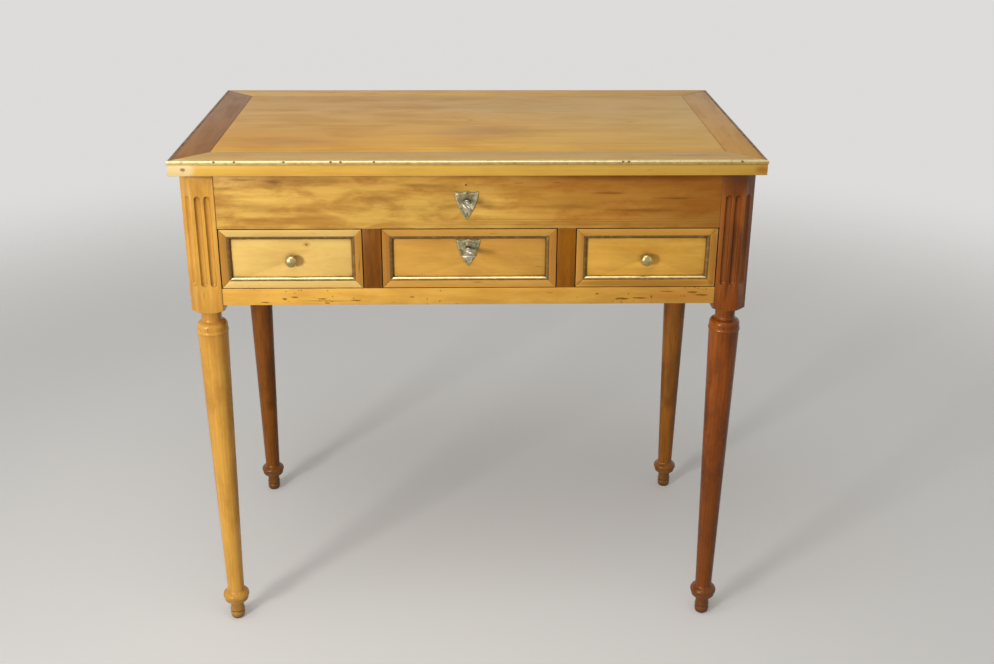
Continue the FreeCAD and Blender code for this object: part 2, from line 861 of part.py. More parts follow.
def drawer_stops():
    """Two small blocks behind each drawer front, on the bottom rail."""
    blocks = []
    for name, middle, opening in drawer_openings():
        for number, shift in enumerate((-1, 1)):
            x = middle + opening * shift / 4
            blocks.append(box(f"stop_{name}_{number}", (x - s.stop_width / 2, x + s.stop_width / 2),
                              (plank_back, plank_back + s.stop_depth), (rail_top, rail_top + s.stop_height)))
    keep("drawer_stops", group("drawer_stops_group", *blocks))


def drawer_openings():
    return (
        ("left", -side_drawer_x, side_opening),
        ("centre", formula(0), s.centre_opening),
        ("right", side_drawer_x, side_opening),
    )


front_frieze()
front_bottom_rail()
divider("left_divider", -1)
divider("right_divider", 1)
side_panel("left_side_panel", -1)
side_panel("right_side_panel", 1)
back_panel()
well_floor()
drawer_runners()
drawer_stops()


def screw(name, x, y, z, down):
    """A countersunk wood screw whose head is flush at z, pointing down or up."""
    head = s.screw_head_radius - s.screw_radius
    body = turned(name, [
        (0, 0), (s.screw_head_radius, 0), (s.screw_radius, -head), (s.screw_radius, -s.screw_length + head),
        (0, -s.screw_length),
    ])
    return place(body, x, y, z, None if down else ALONG["down"])


def countersink(name, x, y, z, down):
    """A cutter for a screw hole with its countersink."""
    head = s.screw_head_radius - s.screw_radius
    slack = s.screw_clearance
    body = turned(name, [
        (0, 0), (s.screw_head_radius + slack, 0), (s.screw_radius + slack, -head),
        (s.screw_radius + slack, -s.screw_length), (0, -s.screw_length),
    ])
    return place(body, x, y, z, None if down else ALONG["down"])


def hinge_leaf(label, x, upper):
    """One leaf of a butt hinge: the lower has two outer knuckles, the upper one between them."""
    half = s.hinge_length / 2
    third = s.hinge_length / 3
    plate_z = (case_top - s.hinge_leaf_thickness, case_top)
    if upper:
        plate_z = (lid_bottom, lid_bottom + s.hinge_leaf_thickness)
    leaf_y = back_y - s.panel_setback - s.hinge_leaf_width
    edge_y = back_y if upper else back_y - s.panel_setback
    plate = box(f"{label}_plate", about(x, half), (leaf_y, edge_y), plate_z)
    spans = [(x - third / 2 + s.knuckle_gap, x + third / 2 - s.knuckle_gap)] if upper else [
        (x - half, x - third / 2), (x + third / 2, x + half)]
    pieces = [plate]
    for number, span in enumerate(spans):
        pieces.append(cylinder(f"{label}_knuckle{number}", s.knuckle_radius, span[1] - span[0],
                               (span[0], hinge_y, hinge_z), "x"))
        pieces.append(box(f"{label}_web{number}", span, (leaf_y, hinge_y), plate_z))
    bore = cylinder(f"{label}_bore", s.hinge_pin_radius + s.hinge_pin_clearance,
                    s.hinge_length + s.cut_overrun * 2, (x - half - s.cut_overrun, hinge_y, hinge_z), "x")
    tools = [bore]
    for number, screw_x in screw_places(x):
        top = lid_bottom if upper else case_top
        tools.append(countersink(f"{label}_sink{number}", screw_x, screw_y, top, not upper))
    keep(label, cut(f"{label}_cut", fused(f"{label}_blank", *pieces), *tools))


def hinges():
    pins, case_screws = [], []
    for name, x in hinge_sides():
        hinge_leaf(f"{name}_hinge_case_leaf", x, False)
        pins.append(cylinder(f"hinge_pin_{name}", s.hinge_pin_radius, s.hinge_length,
                             (x - s.hinge_length / 2, hinge_y, hinge_z), "x"))
        for number, screw_x in screw_places(x):
            case_screws.append(screw(f"case_screw_{name}_{number}", screw_x, screw_y, case_top, True))
    keep("hinge_pins", group("hinge_pins_group", *pins))
    keep("hinge_case_screws", group("hinge_case_screws_group", *case_screws))


hinges()


def shield(label, x, y, top):
    """A brass shield with three tips along its top and a keyhole; y is the wood that it lies on."""
    half = s.shield_half_width
    body = new_body(f"{label}_body")
    sketch = new_sketch(body, "XZ_Plane", f"{label}_outline")
    outline(sketch, [
        (-half, 0, -1.05),
        (0, s.shield_tip_rise, -1.05),
        (half, 0, 1.8),
        (0, -s.shield_height, 1.8),
    ])
    pad(body, sketch, s.shield_thickness)
    place(body, x, y, top)
    tools = keyhole_tools(f"{label}_keyhole", x, top - s.shield_key_drop,
                          (y - s.shield_thickness - s.cut_overrun, y + s.cut_overrun), formula(0))
    tools += nail_holes(f"{label}_nail_hole", x, y, top)
    keep(label, cut(f"{label}_cut", body, *tools))


def shield_pins(label, x, y, top):
    """Three brass nails with round heads, driven through the shield."""
    nails = []
    head = s.nail_head_radius
    for end, nail_x, nail_z in nail_places(x, top):
        nail = turned(f"{label}_{end}", [
            (0, s.nail_head_height), (0, -s.nail_length), (s.nail_radius, -s.nail_length), (s.nail_radius, 0),
            (head, 0, dome(head, s.nail_head_height)),
        ])
        place(nail, nail_x, y - s.shield_thickness, nail_z, ALONG["front"])
        nails.append(nail)
    keep(label, group(f"{label}_group", *nails))


def lock_case(label, x, width, height, top, key_z, back, staple):
    """A shallow iron box with a keyhole in front and a slot above for the bolt or the staple."""
    over = s.cut_overrun
    wall = s.lock_wall
    half = width / 2
    front = back - s.lock_depth
    outer = box(f"{label}_outer", about(x, half), (front, back), (top - height, top))
    inner = box(f"{label}_inner", about(x, half - wall), (front + wall, back - wall),
                (top - height + wall, top - wall))
    if staple:
        slot_x = s.staple_thickness / 2 + s.bolt_clearance * 2
        slot_y = (lid_bolt_front - s.staple_wall - s.bolt_clearance * 4, back + over)
        slot_z = (top - s.staple_drop - s.bolt_clearance * 2, top + over)
    else:
        slot_x = s.drawer_bolt_width / 2 + s.bolt_clearance
        slot_y = (drawer_bolt_front - s.bolt_clearance, drawer_bolt_back + s.bolt_clearance)
        slot_z = (top - wall - over, top + over)
    slot = box(f"{label}_top_slot", about(x, slot_x), slot_y, slot_z)
    hole = cylinder(f"{label}_keyhole", s.key_shaft_radius + s.bolt_clearance, wall + over * 2,
                    (x, front - over, key_z), "y")
    keep(label, cut(f"{label}_cut", outer, inner, slot, hole))


def key(label, x, y, key_z, bit_front, reach):
    """A key with a round bow, turned in its lock; y is the plate's front, where the collar sits."""
    shaft_end = bit_front + s.key_bit_length
    bow_middle = y - reach + s.key_bow_radius + s.key_bow_wire
    shaft = cylinder(f"{label}_shaft", s.key_shaft_radius, shaft_end - bow_middle - s.key_bow_radius,
                     (0, bow_middle + s.key_bow_radius - y, 0), "y")
    collar = cylinder(f"{label}_collar", s.key_collar_radius, s.key_collar_length,
                      (0, -s.key_collar_length - s.bolt_clearance, 0), "y")
    bow_ring = cylinder(f"{label}_bow_collar", s.key_collar_radius, s.key_collar_length,
                        (0, bow_middle + s.key_bow_radius - y, 0), "y")
    bow = doc.addObject("Part::Torus", f"{label}_bow")
    bind(bow, "Radius1", s.key_bow_radius)
    bind(bow, "Radius2", s.key_bow_wire)
    place(bow, 0, bow_middle - y, 0, ALONG["x"])
    half = s.key_bit_thickness / 2
    bit = box(f"{label}_bit", (-half, half), (bit_front - y, shaft_end - y), (-s.key_bit_radius, 0))
    whole = fused(f"{label}_fused", shaft, collar, bow_ring, bow, bit)
    turn = FreeCAD.Rotation(-Y_AXIS, KEY_TURNS[label])
    keep(label, place(whole, x, y, key_z, turn))


def lid_bolt():
    """The bolt of the lid's lock: a plate with a tongue that slides sideways through the staple."""
    start = s.lid_lock_x + s.bolt_start
    end = start + s.bolt_length
    plate_start = s.lid_lock_x + s.staple_thickness / 2 + s.lid_bolt_throw + s.bolt_clearance
    y = (lid_bolt_front, lid_bolt_back)
    top = case_top - s.bolt_drop
    tongue = box("lid_bolt_tongue", (start, end), y, (top - s.bolt_height, top))
    plate = box("lid_bolt_plate", (plate_start, end), y, (top - s.bolt_plate_height, top))
    keep("lid_lock_bolt", fused("lid_lock_bolt_fused", tongue, plate))


def drawer_bolt():
    """The bolt of the drawer's lock, which rises into the frieze."""
    keep("drawer_lock_bolt", box("drawer_bolt_bar", about(s.drawer_lock_x, s.drawer_bolt_width / 2),
                                 (drawer_bolt_front, drawer_bolt_back),
                                 (front_top - s.drawer_bolt_height, front_top - s.lock_wall)))


def lid_keeper():
    """The plate under the lid's front rail, with the staple that the bolt passes through."""
    x = s.lid_lock_x
    middle = lid_bolt_middle
    plate = box("keeper_plate", about(x, s.keeper_width / 2), about(middle, s.keeper_depth / 2),
                (lid_bottom, lid_bottom + s.keeper_thickness))
    half_staple = s.staple_thickness / 2
    half_window = s.bolt_thickness / 2 + s.bolt_clearance
    staple = box("keeper_staple", about(x, half_staple), about(middle, half_window + s.staple_wall),
                 (lid_bottom - s.staple_drop, lid_bottom + s.keeper_thickness))
    bolt_top = case_top - s.bolt_drop
    window = box("keeper_window", about(x, half_staple + s.cut_overrun), about(middle, half_window),
                 (bolt_top - s.bolt_height - s.bolt_clearance, bolt_top + s.bolt_clearance * 2))
    tools = [window]
    for name, screw_x in keeper_screws():
        tools.append(countersink(f"keeper_sink_{name}", screw_x, middle, lid_bottom, False))
    keep("lid_lock_keeper", cut("keeper_cut", fused("keeper_blank", plate, staple), *tools))


def keeper_screws():
    left, right = about(s.lid_lock_x, s.keeper_width / 2 - s.screw_head_radius * 2)
    return (("left", left), ("right", right))


lid_bit_front = lid_bolt_front - s.bolt_clearance * 2 - s.key_bit_length
drawer_bit_front = drawer_bolt_front - s.bolt_clearance * 2 - s.key_bit_length
lid_plate_y = board_y - s.shield_thickness
drawer_plate_y = plank_front - s.shield_thickness
key_out = s.key_reach - s.shield_thickness + s.panel_setback

shield("frieze_escutcheon", s.lid_lock_x, board_y, shield_top)
shield_pins("frieze_escutcheon_pins", s.lid_lock_x, board_y, shield_top)
lock_case("frieze_lock_case", s.lid_lock_x, s.lid_lock_width, s.lid_lock_height, case_top, lid_key_z,
          lid_lock_back, True)
lid_bolt()
key("lid_key", s.lid_lock_x, lid_plate_y, lid_key_z, lid_bit_front, key_out)
shield("centre_drawer_escutcheon", s.drawer_lock_x, plank_front, drawer_shield_top)
shield_pins("centre_drawer_escutcheon_pins", s.drawer_lock_x, plank_front, drawer_shield_top)
lock_case("centre_drawer_lock_case", s.drawer_lock_x, s.drawer_lock_width, s.drawer_lock_height, front_top,
          drawer_key_z, plank_back, False)
drawer_bolt()
key("drawer_key", s.drawer_lock_x, drawer_plate_y, drawer_key_z, drawer_bit_front, key_out)

# The lid
lid_width = s.case_width + s.lid_side_overhang * 2
lid_depth = s.case_depth + s.lid_overhang
lid_middle_y = (face_y - s.lid_overhang + back_y) / 2
panel_bottom = s.table_height - s.lid_panel_thickness
panel_width = lid_width - s.lid_frame_width * 2
panel_depth = lid_depth - s.lid_frame_width * 2


def lid_rails():
    """Four mitred rails, grooved for the panel and rebated above for the brass bead."""
    over = s.cut_overrun
    for name, turns, u, v, length in around(lid_width, lid_depth):
        label = f"lid_{name}_rail"
        blank = strip(f"{label}_blank", length, s.lid_frame_width, s.lid_thickness, s.lid_thickness)
        half = length / 2
        edge = s.lid_frame_width
        tongue_z = s.lid_thickness - s.lid_panel_thickness + s.tongue_rise
        tools = [box(f"{label}_groove", (-half, half), (edge - s.tongue_length - s.joint_gap, edge + over),
                     (tongue_z, tongue_z + s.tongue_thickness))]
        rebate_z = (s.lid_thickness - s.lid_bead_height, s.lid_thickness + over)
        if name == "back":
            for end, xs in (("low", (-half - over, -half + s.lid_bead_depth)),
                            ("high", (half - s.lid_bead_depth, half + over))):
                tools.append(box(f"{label}_rebate_{end}", xs, (-over, edge), rebate_z))
        else:
            tools.append(box(f"{label}_rebate", (-half - over, half + over),
                             (-over, s.lid_bead_depth), rebate_z))
        shaped = cut(f"{label}_shaped", blank, *tools)
        place(shaped, u, lid_middle_y + v, lid_bottom, quarter(turns))
        tools = []
        if name == "front":
            tools.append(box("rail_keeper_recess", about(s.lid_lock_x, s.keeper_width / 2),
                             about(lid_bolt_middle, s.keeper_depth / 2),
                             (lid_bottom - over, lid_bottom + s.keeper_thickness)))
            for end, x in keeper_screws():
                tools.append(cylinder(f"rail_keeper_screw_{end}", s.screw_radius + s.screw_clearance,
                                      s.screw_length, (x, lid_bolt_middle, lid_bottom)))
        if name == "back":
            for end, x in hinge_sides():
                half_leaf = s.hinge_length / 2
                leaf_y = back_y - s.panel_setback - s.hinge_leaf_width
                tools.append(box(f"rail_leaf_{end}", (x - half_leaf, x + half_leaf), (leaf_y, back_y + over),
                                 (lid_bottom - over, lid_bottom + s.hinge_leaf_thickness)))
                for number, screw_x in screw_places(x):
                    tools.append(cylinder(f"rail_screw_{end}_{number}", s.screw_radius + s.screw_clearance,
                                          s.screw_length, (screw_x, screw_y, lid_bottom)))
        keep(label, cut(f"{label}_cut", shaped, *tools) if tools else shaped)


def lid_panel():
    """The lid's middle board, with a tongue all round that sits in the rails' grooves."""
    half_x = panel_width / 2 - s.joint_gap
    half_y = panel_depth / 2 - s.joint_gap
    board = box("lid_panel_board", (-half_x, half_x), about(lid_middle_y, half_y),
                (panel_bottom, s.table_height))
    reach = s.tongue_length
    low = panel_bottom + s.tongue_rise
    tongue = box("lid_panel_tongue", (-half_x - reach, half_x + reach),
                 about(lid_middle_y, half_y + reach), (low, low + s.tongue_thickness))
    keep("lid_panel", fused("lid_panel_fused", board, tongue))


def round_strip(name, length, width, height, radius, mitres=(True, True)):
    """A mitred bead: a bar of the given section, its top rounded by a larger cylinder along it."""
    bar = strip(f"{name}_bar", length, width, height, height, mitres)
    half = formula(length) / 2
    return bar, lambda middle_y, middle_z: cylinder(f"{name}_round", radius, half * 2,
                                                    (-half, middle_y, middle_z), "x")


def lid_bead():
    """The brass bead along the front and both sides of the lid's top edge."""
    proud = s.lid_bead_proud
    width = lid_width + proud * 2
    depth = lid_depth + proud
    bead_middle_y = (face_y - s.lid_overhang - proud + back_y) / 2
    section = s.lid_bead_depth + proud
    strips = []
    for name, turns, u, v, length in around(width, depth):
        if name == "back":
            continue
        mitres = {"front": (True, True), "right": (True, False), "left": (False, True)}[name]
        bar, rounding = round_strip(f"lid_bead_{name}", length, section, s.lid_bead_height,
                                    s.lid_bead_round, mitres)
        bead = common(f"lid_bead_{name}", bar, rounding(s.lid_bead_round, s.lid_bead_height / 2))
        strips.append(place(bead, u, bead_middle_y + v, s.table_height - s.lid_bead_height, quarter(turns)))
    keep("lid_brass_bead", group("lid_brass_bead_group", *strips))


def lid_mirror():
    """The mirror under the lid, and the four mitred strips that hold it in the frame's recess."""
    width = panel_width
    depth = panel_depth
    lip = s.mirror_frame_width
    hold = lip - s.mirror_rebate
    recess = panel_bottom - lid_bottom
    strips = []
    for name, turns, u, v, length in around(width, depth):
        low = recess - s.mirror_thickness
        face = strip(f"mirror_strip_{name}_face", length, lip, low, low)
        seat = place(strip(f"mirror_strip_{name}_seat", length, hold, s.mirror_thickness, s.mirror_thickness),
                     0, 0, low)
        whole = fused(f"mirror_strip_{name}", face, seat)
        strips.append(place(whole, u, lid_middle_y + v, lid_bottom, quarter(turns)))
    keep("lid_mirror_frame", group("lid_mirror_frame_group", *strips))
    half_x = width / 2 - hold
    half_y = depth / 2 - hold
    keep("lid_mirror", box("lid_mirror_glass", (-half_x, half_x), about(lid_middle_y, half_y),
                           (panel_bottom - s.mirror_thickness, panel_bottom)))


def lid_hardware():
    screws = []
    for name, x in hinge_sides():
        hinge_leaf(f"{name}_hinge_lid_leaf", x, True)
        for number, screw_x in screw_places(x):
            screws.append(screw(f"lid_screw_{name}_{number}", screw_x, screw_y, lid_bottom, False))
    for name, x in keeper_screws():
        screws.append(screw(f"lid_screw_keeper_{name}", x, lid_bolt_middle, lid_bottom, False))
    keep("lid_screws", group("lid_screws_group", *screws))


lid_rails()
lid_panel()
lid_bead()
lid_mirror()
lid_keeper()
lid_hardware()


def side_outline(front, back, low, high):
    """A drawer side seen from beside it, with two dovetails at each end."""
    height = high - low
    points = [(front, low)]
    half_root = s.tail_root / 2
    half_tip = half_root + s.tail_flare
    for share in TAIL_SHARES:
        middle = low + height * share
        tip = front - s.tail_length
        points += [(front, middle - half_root), (tip, middle - half_tip), (tip, middle + half_tip),
                   (front, middle + half_root)]
    points += [(front, high), (back, high)]
    for share in reversed(TAIL_SHARES):
        middle = low + height * share
        tip = back + s.drawer_back
        points += [(back, middle + half_root), (tip, middle + half_tip), (tip, middle - half_tip),
                   (back, middle - half_root)]
    points.append((back, low))
    return points


def drawer(name, middle, opening, locked):
    """One drawer: front with its mouldings, two sides, a back and a bottom."""
    over = s.cut_overrun
    half = opening / 2 - s.drawer_gap
    low, high = front_bottom, front_top
    side_bottom = rail_top + s.running_gap
    side_top = high - s.drawer_side_drop
    end = back_inside - s.drawer_back_gap
    back_front = end - s.drawer_back
    bottom_low = low + s.bottom_rise
    bottom_z = (bottom_low, bottom_low + s.drawer_bottom)
    groove = s.bottom_groove
    inside = half - s.drawer_side
    sides = []
    for end_name, x in (("left", middle - half), ("right", middle + inside)):
        body = new_body(f"{name}_drawer_{end_name}_side")
        sketch = new_sketch(body, "YZ_Plane", f"{name}_drawer_{end_name}_outline")
        outline(sketch, side_outline(plank_back, back_front, side_bottom, side_top))
        pad(body, sketch, s.drawer_side)
        place(body, x, 0, 0)
        slot_x = (x + s.drawer_side - groove, x + s.drawer_side + over)
        if end_name == "right":
            slot_x = (x - over, x + groove)
        slot = box(f"{name}_{end_name}_side_groove", slot_x, (plank_back, end + over), bottom_z)
        sides.append(cut(f"{name}_{end_name}_side_cut", body, slot))
    sides_group = keep(f"{name}_drawer_sides", group(f"{name}_drawer_sides_group", *sides))

    blank = box(f"{name}_front_blank", about(middle, half), (plank_front, plank_back), (low, high))
    bottom_x = about(middle, inside + groove)
    tools = [sides_group, box(f"{name}_front_groove", bottom_x,
                              (plank_back - groove, plank_back + over), bottom_z)]
    if locked:
        lock_x = s.drawer_lock_x
        lock_y = plank_back - s.lock_depth
        tools.append(box("drawer_lock_mortise", about(lock_x, s.drawer_lock_width / 2),
                         (lock_y, plank_back + over), (high - s.drawer_lock_height, high + over)))
        tools += keyhole_tools("drawer_keyhole", lock_x, drawer_key_z, (plank_front - over, lock_y + over),
                               s.bolt_clearance)
        tools += nail_holes("drawer_nail_hole", lock_x, plank_front, drawer_shield_top)
    else:
        tools.append(cylinder(f"{name}_knob_hole", s.knob_stem_radius + s.screw_clearance,
                              s.knob_stem_length + over + s.screw_clearance,
                              (middle, plank_front - over, knob_z), "y"))
    keep(f"{name}_drawer_front", cut(f"{name}_drawer_front_cut", blank, *tools))

    back_blank = box(f"{name}_back_blank", about(middle, half), (back_front, end), (bottom_z[1], side_top))
    keep(f"{name}_drawer_back", cut(f"{name}_drawer_back_cut", back_blank, sides_group))
    keep(f"{name}_drawer_bottom", box(f"{name}_bottom_board", bottom_x, (plank_back - groove, end), bottom_z))
    drawer_mouldings(name, middle, half * 2, low, high)
    if not locked:
        knob(f"{name}_drawer_knob", middle, plank_front, knob_z)


def drawer_mouldings(name, middle, width, low, high):
    """The mitred wooden moulding round a drawer front, and the brass bead inside it."""
    height = high - low
    centre_z = (low + high) / 2
    strips, beads = [], []
    for edge, turns, u, v, length in around(width, height):
        wood = strip(f"{name}_moulding_{edge}", length, s.moulding_width, s.moulding_outer, s.moulding_inner)
        strips.append(place(wood, middle + u, plank_front, centre_z + v, quarter(turns, True)))
    inner = s.moulding_width * 2
    for edge, turns, u, v, length in around(width - inner, height - inner):
        bar, rounding = round_strip(f"{name}_bead_{edge}", length, s.drawer_bead_width, s.drawer_bead_height,
                                    s.drawer_bead_round)
        top = s.drawer_bead_height - s.drawer_bead_round
        bead = common(f"{name}_bead_{edge}_strip", bar, rounding(s.drawer_bead_width / 2, top))
        beads.append(place(bead, middle + u, plank_front, centre_z + v, quarter(turns, True)))
    keep(f"{name}_drawer_moulding", group(f"{name}_moulding_group", *strips))
    keep(f"{name}_drawer_bead", group(f"{name}_bead_group", *beads))


def knob(label, x, y, z):
    """A turned brass knob with a screw stem."""
    rim_low = s.knob_reach - s.knob_dome - s.knob_rim
    rim_high = s.knob_reach - s.knob_dome
    body = turned(label + "_body", [
        (0, -s.knob_stem_length),
        (s.knob_stem_radius, -s.knob_stem_length),
        (s.knob_stem_radius, 0),
        (s.knob_base_radius, 0),
        (s.knob_base_radius, s.knob_base_height),
        (s.knob_neck_radius, s.knob_base_height * 2, 1.4),
        (s.knob_radius, rim_low),
        (s.knob_radius, rim_high, dome(s.knob_radius, s.knob_dome)),
        (0, s.knob_reach),
    ])
    keep(label, place(body, x, y, z, ALONG["front"]))


for drawer_name, drawer_middle, drawer_width in drawer_openings():
    drawer(drawer_name, drawer_middle, drawer_width, drawer_name == "centre")

doc.recompute()


def check_and_export():
    """Stops on a failed feature or a bad shape, then writes each sub-part to its own file."""
    for feature in doc.Objects:
        if "Invalid" in feature.State or "Error" in feature.State:
            raise RuntimeError(f"{feature.Label} has failed: {feature.State}")
    for part in parts:
        shape = part.Shape
        if shape.isNull() or not shape.isValid() or not shape.Solids:
            raise RuntimeError(f"{part.Label} has no valid solid")
    os.makedirs("parts", exist_ok=True)
    for part in parts:
        part.Shape.exportStep(os.path.join("parts", part.Label + ".step"))
        print(part.Label, len(part.Shape.Solids), "solids,", round(part.Shape.Volume / 1000, 2), "cm3")
    print(len(parts), "sub-parts")


check_and_export()
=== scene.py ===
import json
import math

import bpy
from mathutils import Matrix, Vector

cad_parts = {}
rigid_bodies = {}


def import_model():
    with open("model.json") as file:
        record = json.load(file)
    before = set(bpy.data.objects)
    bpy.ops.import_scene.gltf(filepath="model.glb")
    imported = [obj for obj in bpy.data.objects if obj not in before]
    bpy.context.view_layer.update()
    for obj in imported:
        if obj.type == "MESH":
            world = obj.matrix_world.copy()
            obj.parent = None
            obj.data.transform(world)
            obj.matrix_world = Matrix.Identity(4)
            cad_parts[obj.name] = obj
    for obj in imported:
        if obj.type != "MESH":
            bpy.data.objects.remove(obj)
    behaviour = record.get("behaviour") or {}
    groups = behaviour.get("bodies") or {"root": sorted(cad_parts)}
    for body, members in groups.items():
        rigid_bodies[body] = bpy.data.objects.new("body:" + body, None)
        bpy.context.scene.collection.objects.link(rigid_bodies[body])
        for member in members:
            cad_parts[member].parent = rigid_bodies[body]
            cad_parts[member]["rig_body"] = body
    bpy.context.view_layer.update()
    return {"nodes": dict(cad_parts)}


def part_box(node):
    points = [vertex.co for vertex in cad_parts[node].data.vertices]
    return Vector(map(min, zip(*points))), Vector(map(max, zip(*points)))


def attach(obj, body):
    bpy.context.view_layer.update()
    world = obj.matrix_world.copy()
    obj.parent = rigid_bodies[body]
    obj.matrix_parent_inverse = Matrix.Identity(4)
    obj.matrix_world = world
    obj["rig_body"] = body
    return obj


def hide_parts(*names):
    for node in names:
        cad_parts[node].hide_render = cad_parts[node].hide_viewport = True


# A late eighteenth century dressing table in waxed cherry wood, with brass beads, locks and keys.
# Metres; X to the right, Y to the back, Z up, as in the CAD frame.
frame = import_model()
nodes = frame["nodes"]
mm = 0.001
slots = {name: piece.data.materials[0].name for name, piece in nodes.items()}
drawers = ("left_drawer", "centre_drawer", "right_drawer")
print("frame loaded:", len(nodes), "nodes")


def middleAndHalf(node):
    low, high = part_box(node)
    return (low + high) / 2, (high - low) / 2


def paint(red, green, blue):
    # A colour as a colour picker gives it, turned into the linear values that a socket takes
    linear = []
    for level in (red, green, blue):
        share = level / 255
        linear.append(share / 12.92 if share <= 0.04045 else ((share + 0.055) / 1.055) ** 2.4)
    return (*linear, 1.0)


# Small helpers for node trees
def addNode(tree, kind, inputs=None, **settings):
    node = tree.nodes.new(kind)
    for name, value in settings.items():
        setattr(node, name, value)
    for name, value in (inputs or {}).items():
        if isinstance(value, bpy.types.NodeSocket):
            tree.links.new(value, node.inputs[name])
        else:
            node.inputs[name].default_value = value
    return node


def calc(tree, operation, *values, clamp=False):
    inputs = dict(enumerate(values))
    return addNode(tree, "ShaderNodeMath", inputs, operation=operation, use_clamp=clamp).outputs[0]


def times(tree, first, second, clamp=False):
    return calc(tree, "MULTIPLY", first, second, clamp=clamp)


def timesPlus(tree, first, second, third, clamp=False):
    return calc(tree, "MULTIPLY_ADD", first, second, third, clamp=clamp)


def vectorCalc(tree, operation, *values):
    return addNode(tree, "ShaderNodeVectorMath", dict(enumerate(values)), operation=operation).outputs


def stretched(tree, place, scale):
    return addNode(tree, "ShaderNodeVectorMath", {0: place, "Scale": scale}, operation="SCALE").outputs[0]


def axesOf(tree, vector):
    return addNode(tree, "ShaderNodeSeparateXYZ", {0: vector}).outputs


def ramp(tree, value, start, end, low=0.0, high=1.0):
    inputs = {"Value": value, "From Min": start, "From Max": end, "To Min": low, "To Max": high}
    return addNode(tree, "ShaderNodeMapRange", inputs, interpolation_type="SMOOTHSTEP").outputs["Result"]


def blend(tree, share, first, second, mode="MIX"):
    inputs = {0: share, 6: first, 7: second}
    return addNode(tree, "ShaderNodeMix", inputs, data_type="RGBA", blend_type=mode).outputs[2]


def noise(tree, place, scale, detail=2.0, roughness=0.5, distortion=0.0):
    # Noise over metres, stretched by a different scale each way
    inputs = {"Vector": vectorCalc(tree, "MULTIPLY", place, scale)[0], "Scale": 1.0, "Detail": detail,
              "Roughness": roughness, "Distortion": distortion}
    return addNode(tree, "ShaderNodeTexNoise", inputs).outputs["Fac"]


def insideBox(tree, place, centre, half):
    # How deep a place lies inside a box, along each axis
    apart = vectorCalc(tree, "ABSOLUTE", vectorCalc(tree, "SUBTRACT", place, centre)[0])[0]
    return axesOf(tree, vectorCalc(tree, "SUBTRACT", half, apart)[0])


def newGroup(name, inputs, outputs):
    # Each input has its kind, or the number or colour that it starts from; each output has its kind
    group = bpy.data.node_groups.new(name, "ShaderNodeTree")
    kinds = {"colour": "NodeSocketColor", "value": "NodeSocketFloat", "vector": "NodeSocketVector"}
    for socketName, start in inputs.items():
        kind = start if isinstance(start, str) else "colour" if isinstance(start, tuple) else "value"
        socket = group.interface.new_socket(socketName, in_out="INPUT", socket_type=kinds[kind])
        if start != kind:
            socket.default_value = start
    for socketName, kind in outputs.items():
        group.interface.new_socket(socketName, in_out="OUTPUT", socket_type=kinds[kind])
    return group, group.nodes.new("NodeGroupInput").outputs, group.nodes.new("NodeGroupOutput").inputs


def placeGroup(tree, group, **inputs):
    return addNode(tree, "ShaderNodeGroup", inputs, node_tree=group).outputs


def newMaterial(name):
    material = bpy.data.materials.new(name)
    material.use_nodes = True
    tree = material.node_tree
    place = addNode(tree, "ShaderNodeTexCoord").outputs["Object"]
    return material, tree, tree.nodes["Principled BSDF"].inputs, place


# Scales of the grain's noises in turns to the metre: along the grain, and twice across it
grainScales = {
    "slow": (2.6, 12, 12), "quick": (11, 70, 70), "blotch": (9, 26, 26), "streak": (9, 130, 130),
    "fibre": (9, 620, 620), "fleck": (30, 300, 300), "reddish": (1.7, 30, 30), "pores": (90, 2300, 2300),
}
# How much the quick wander counts beside the slow one, how the trunk tapers, how uneven its rings are
ringShape = {"quickShare": 0.2, "taper": 0.012, "uneven": 0.35, "unevenTurns": 0.83}
mottleShares = {"blotch": 0.75, "streak": 0.35}
fleckLook = {"tint": paint(190, 150, 118), "amount": 0.7}
reliefShares = {"fibre": 0.5, "pores": 0.8}


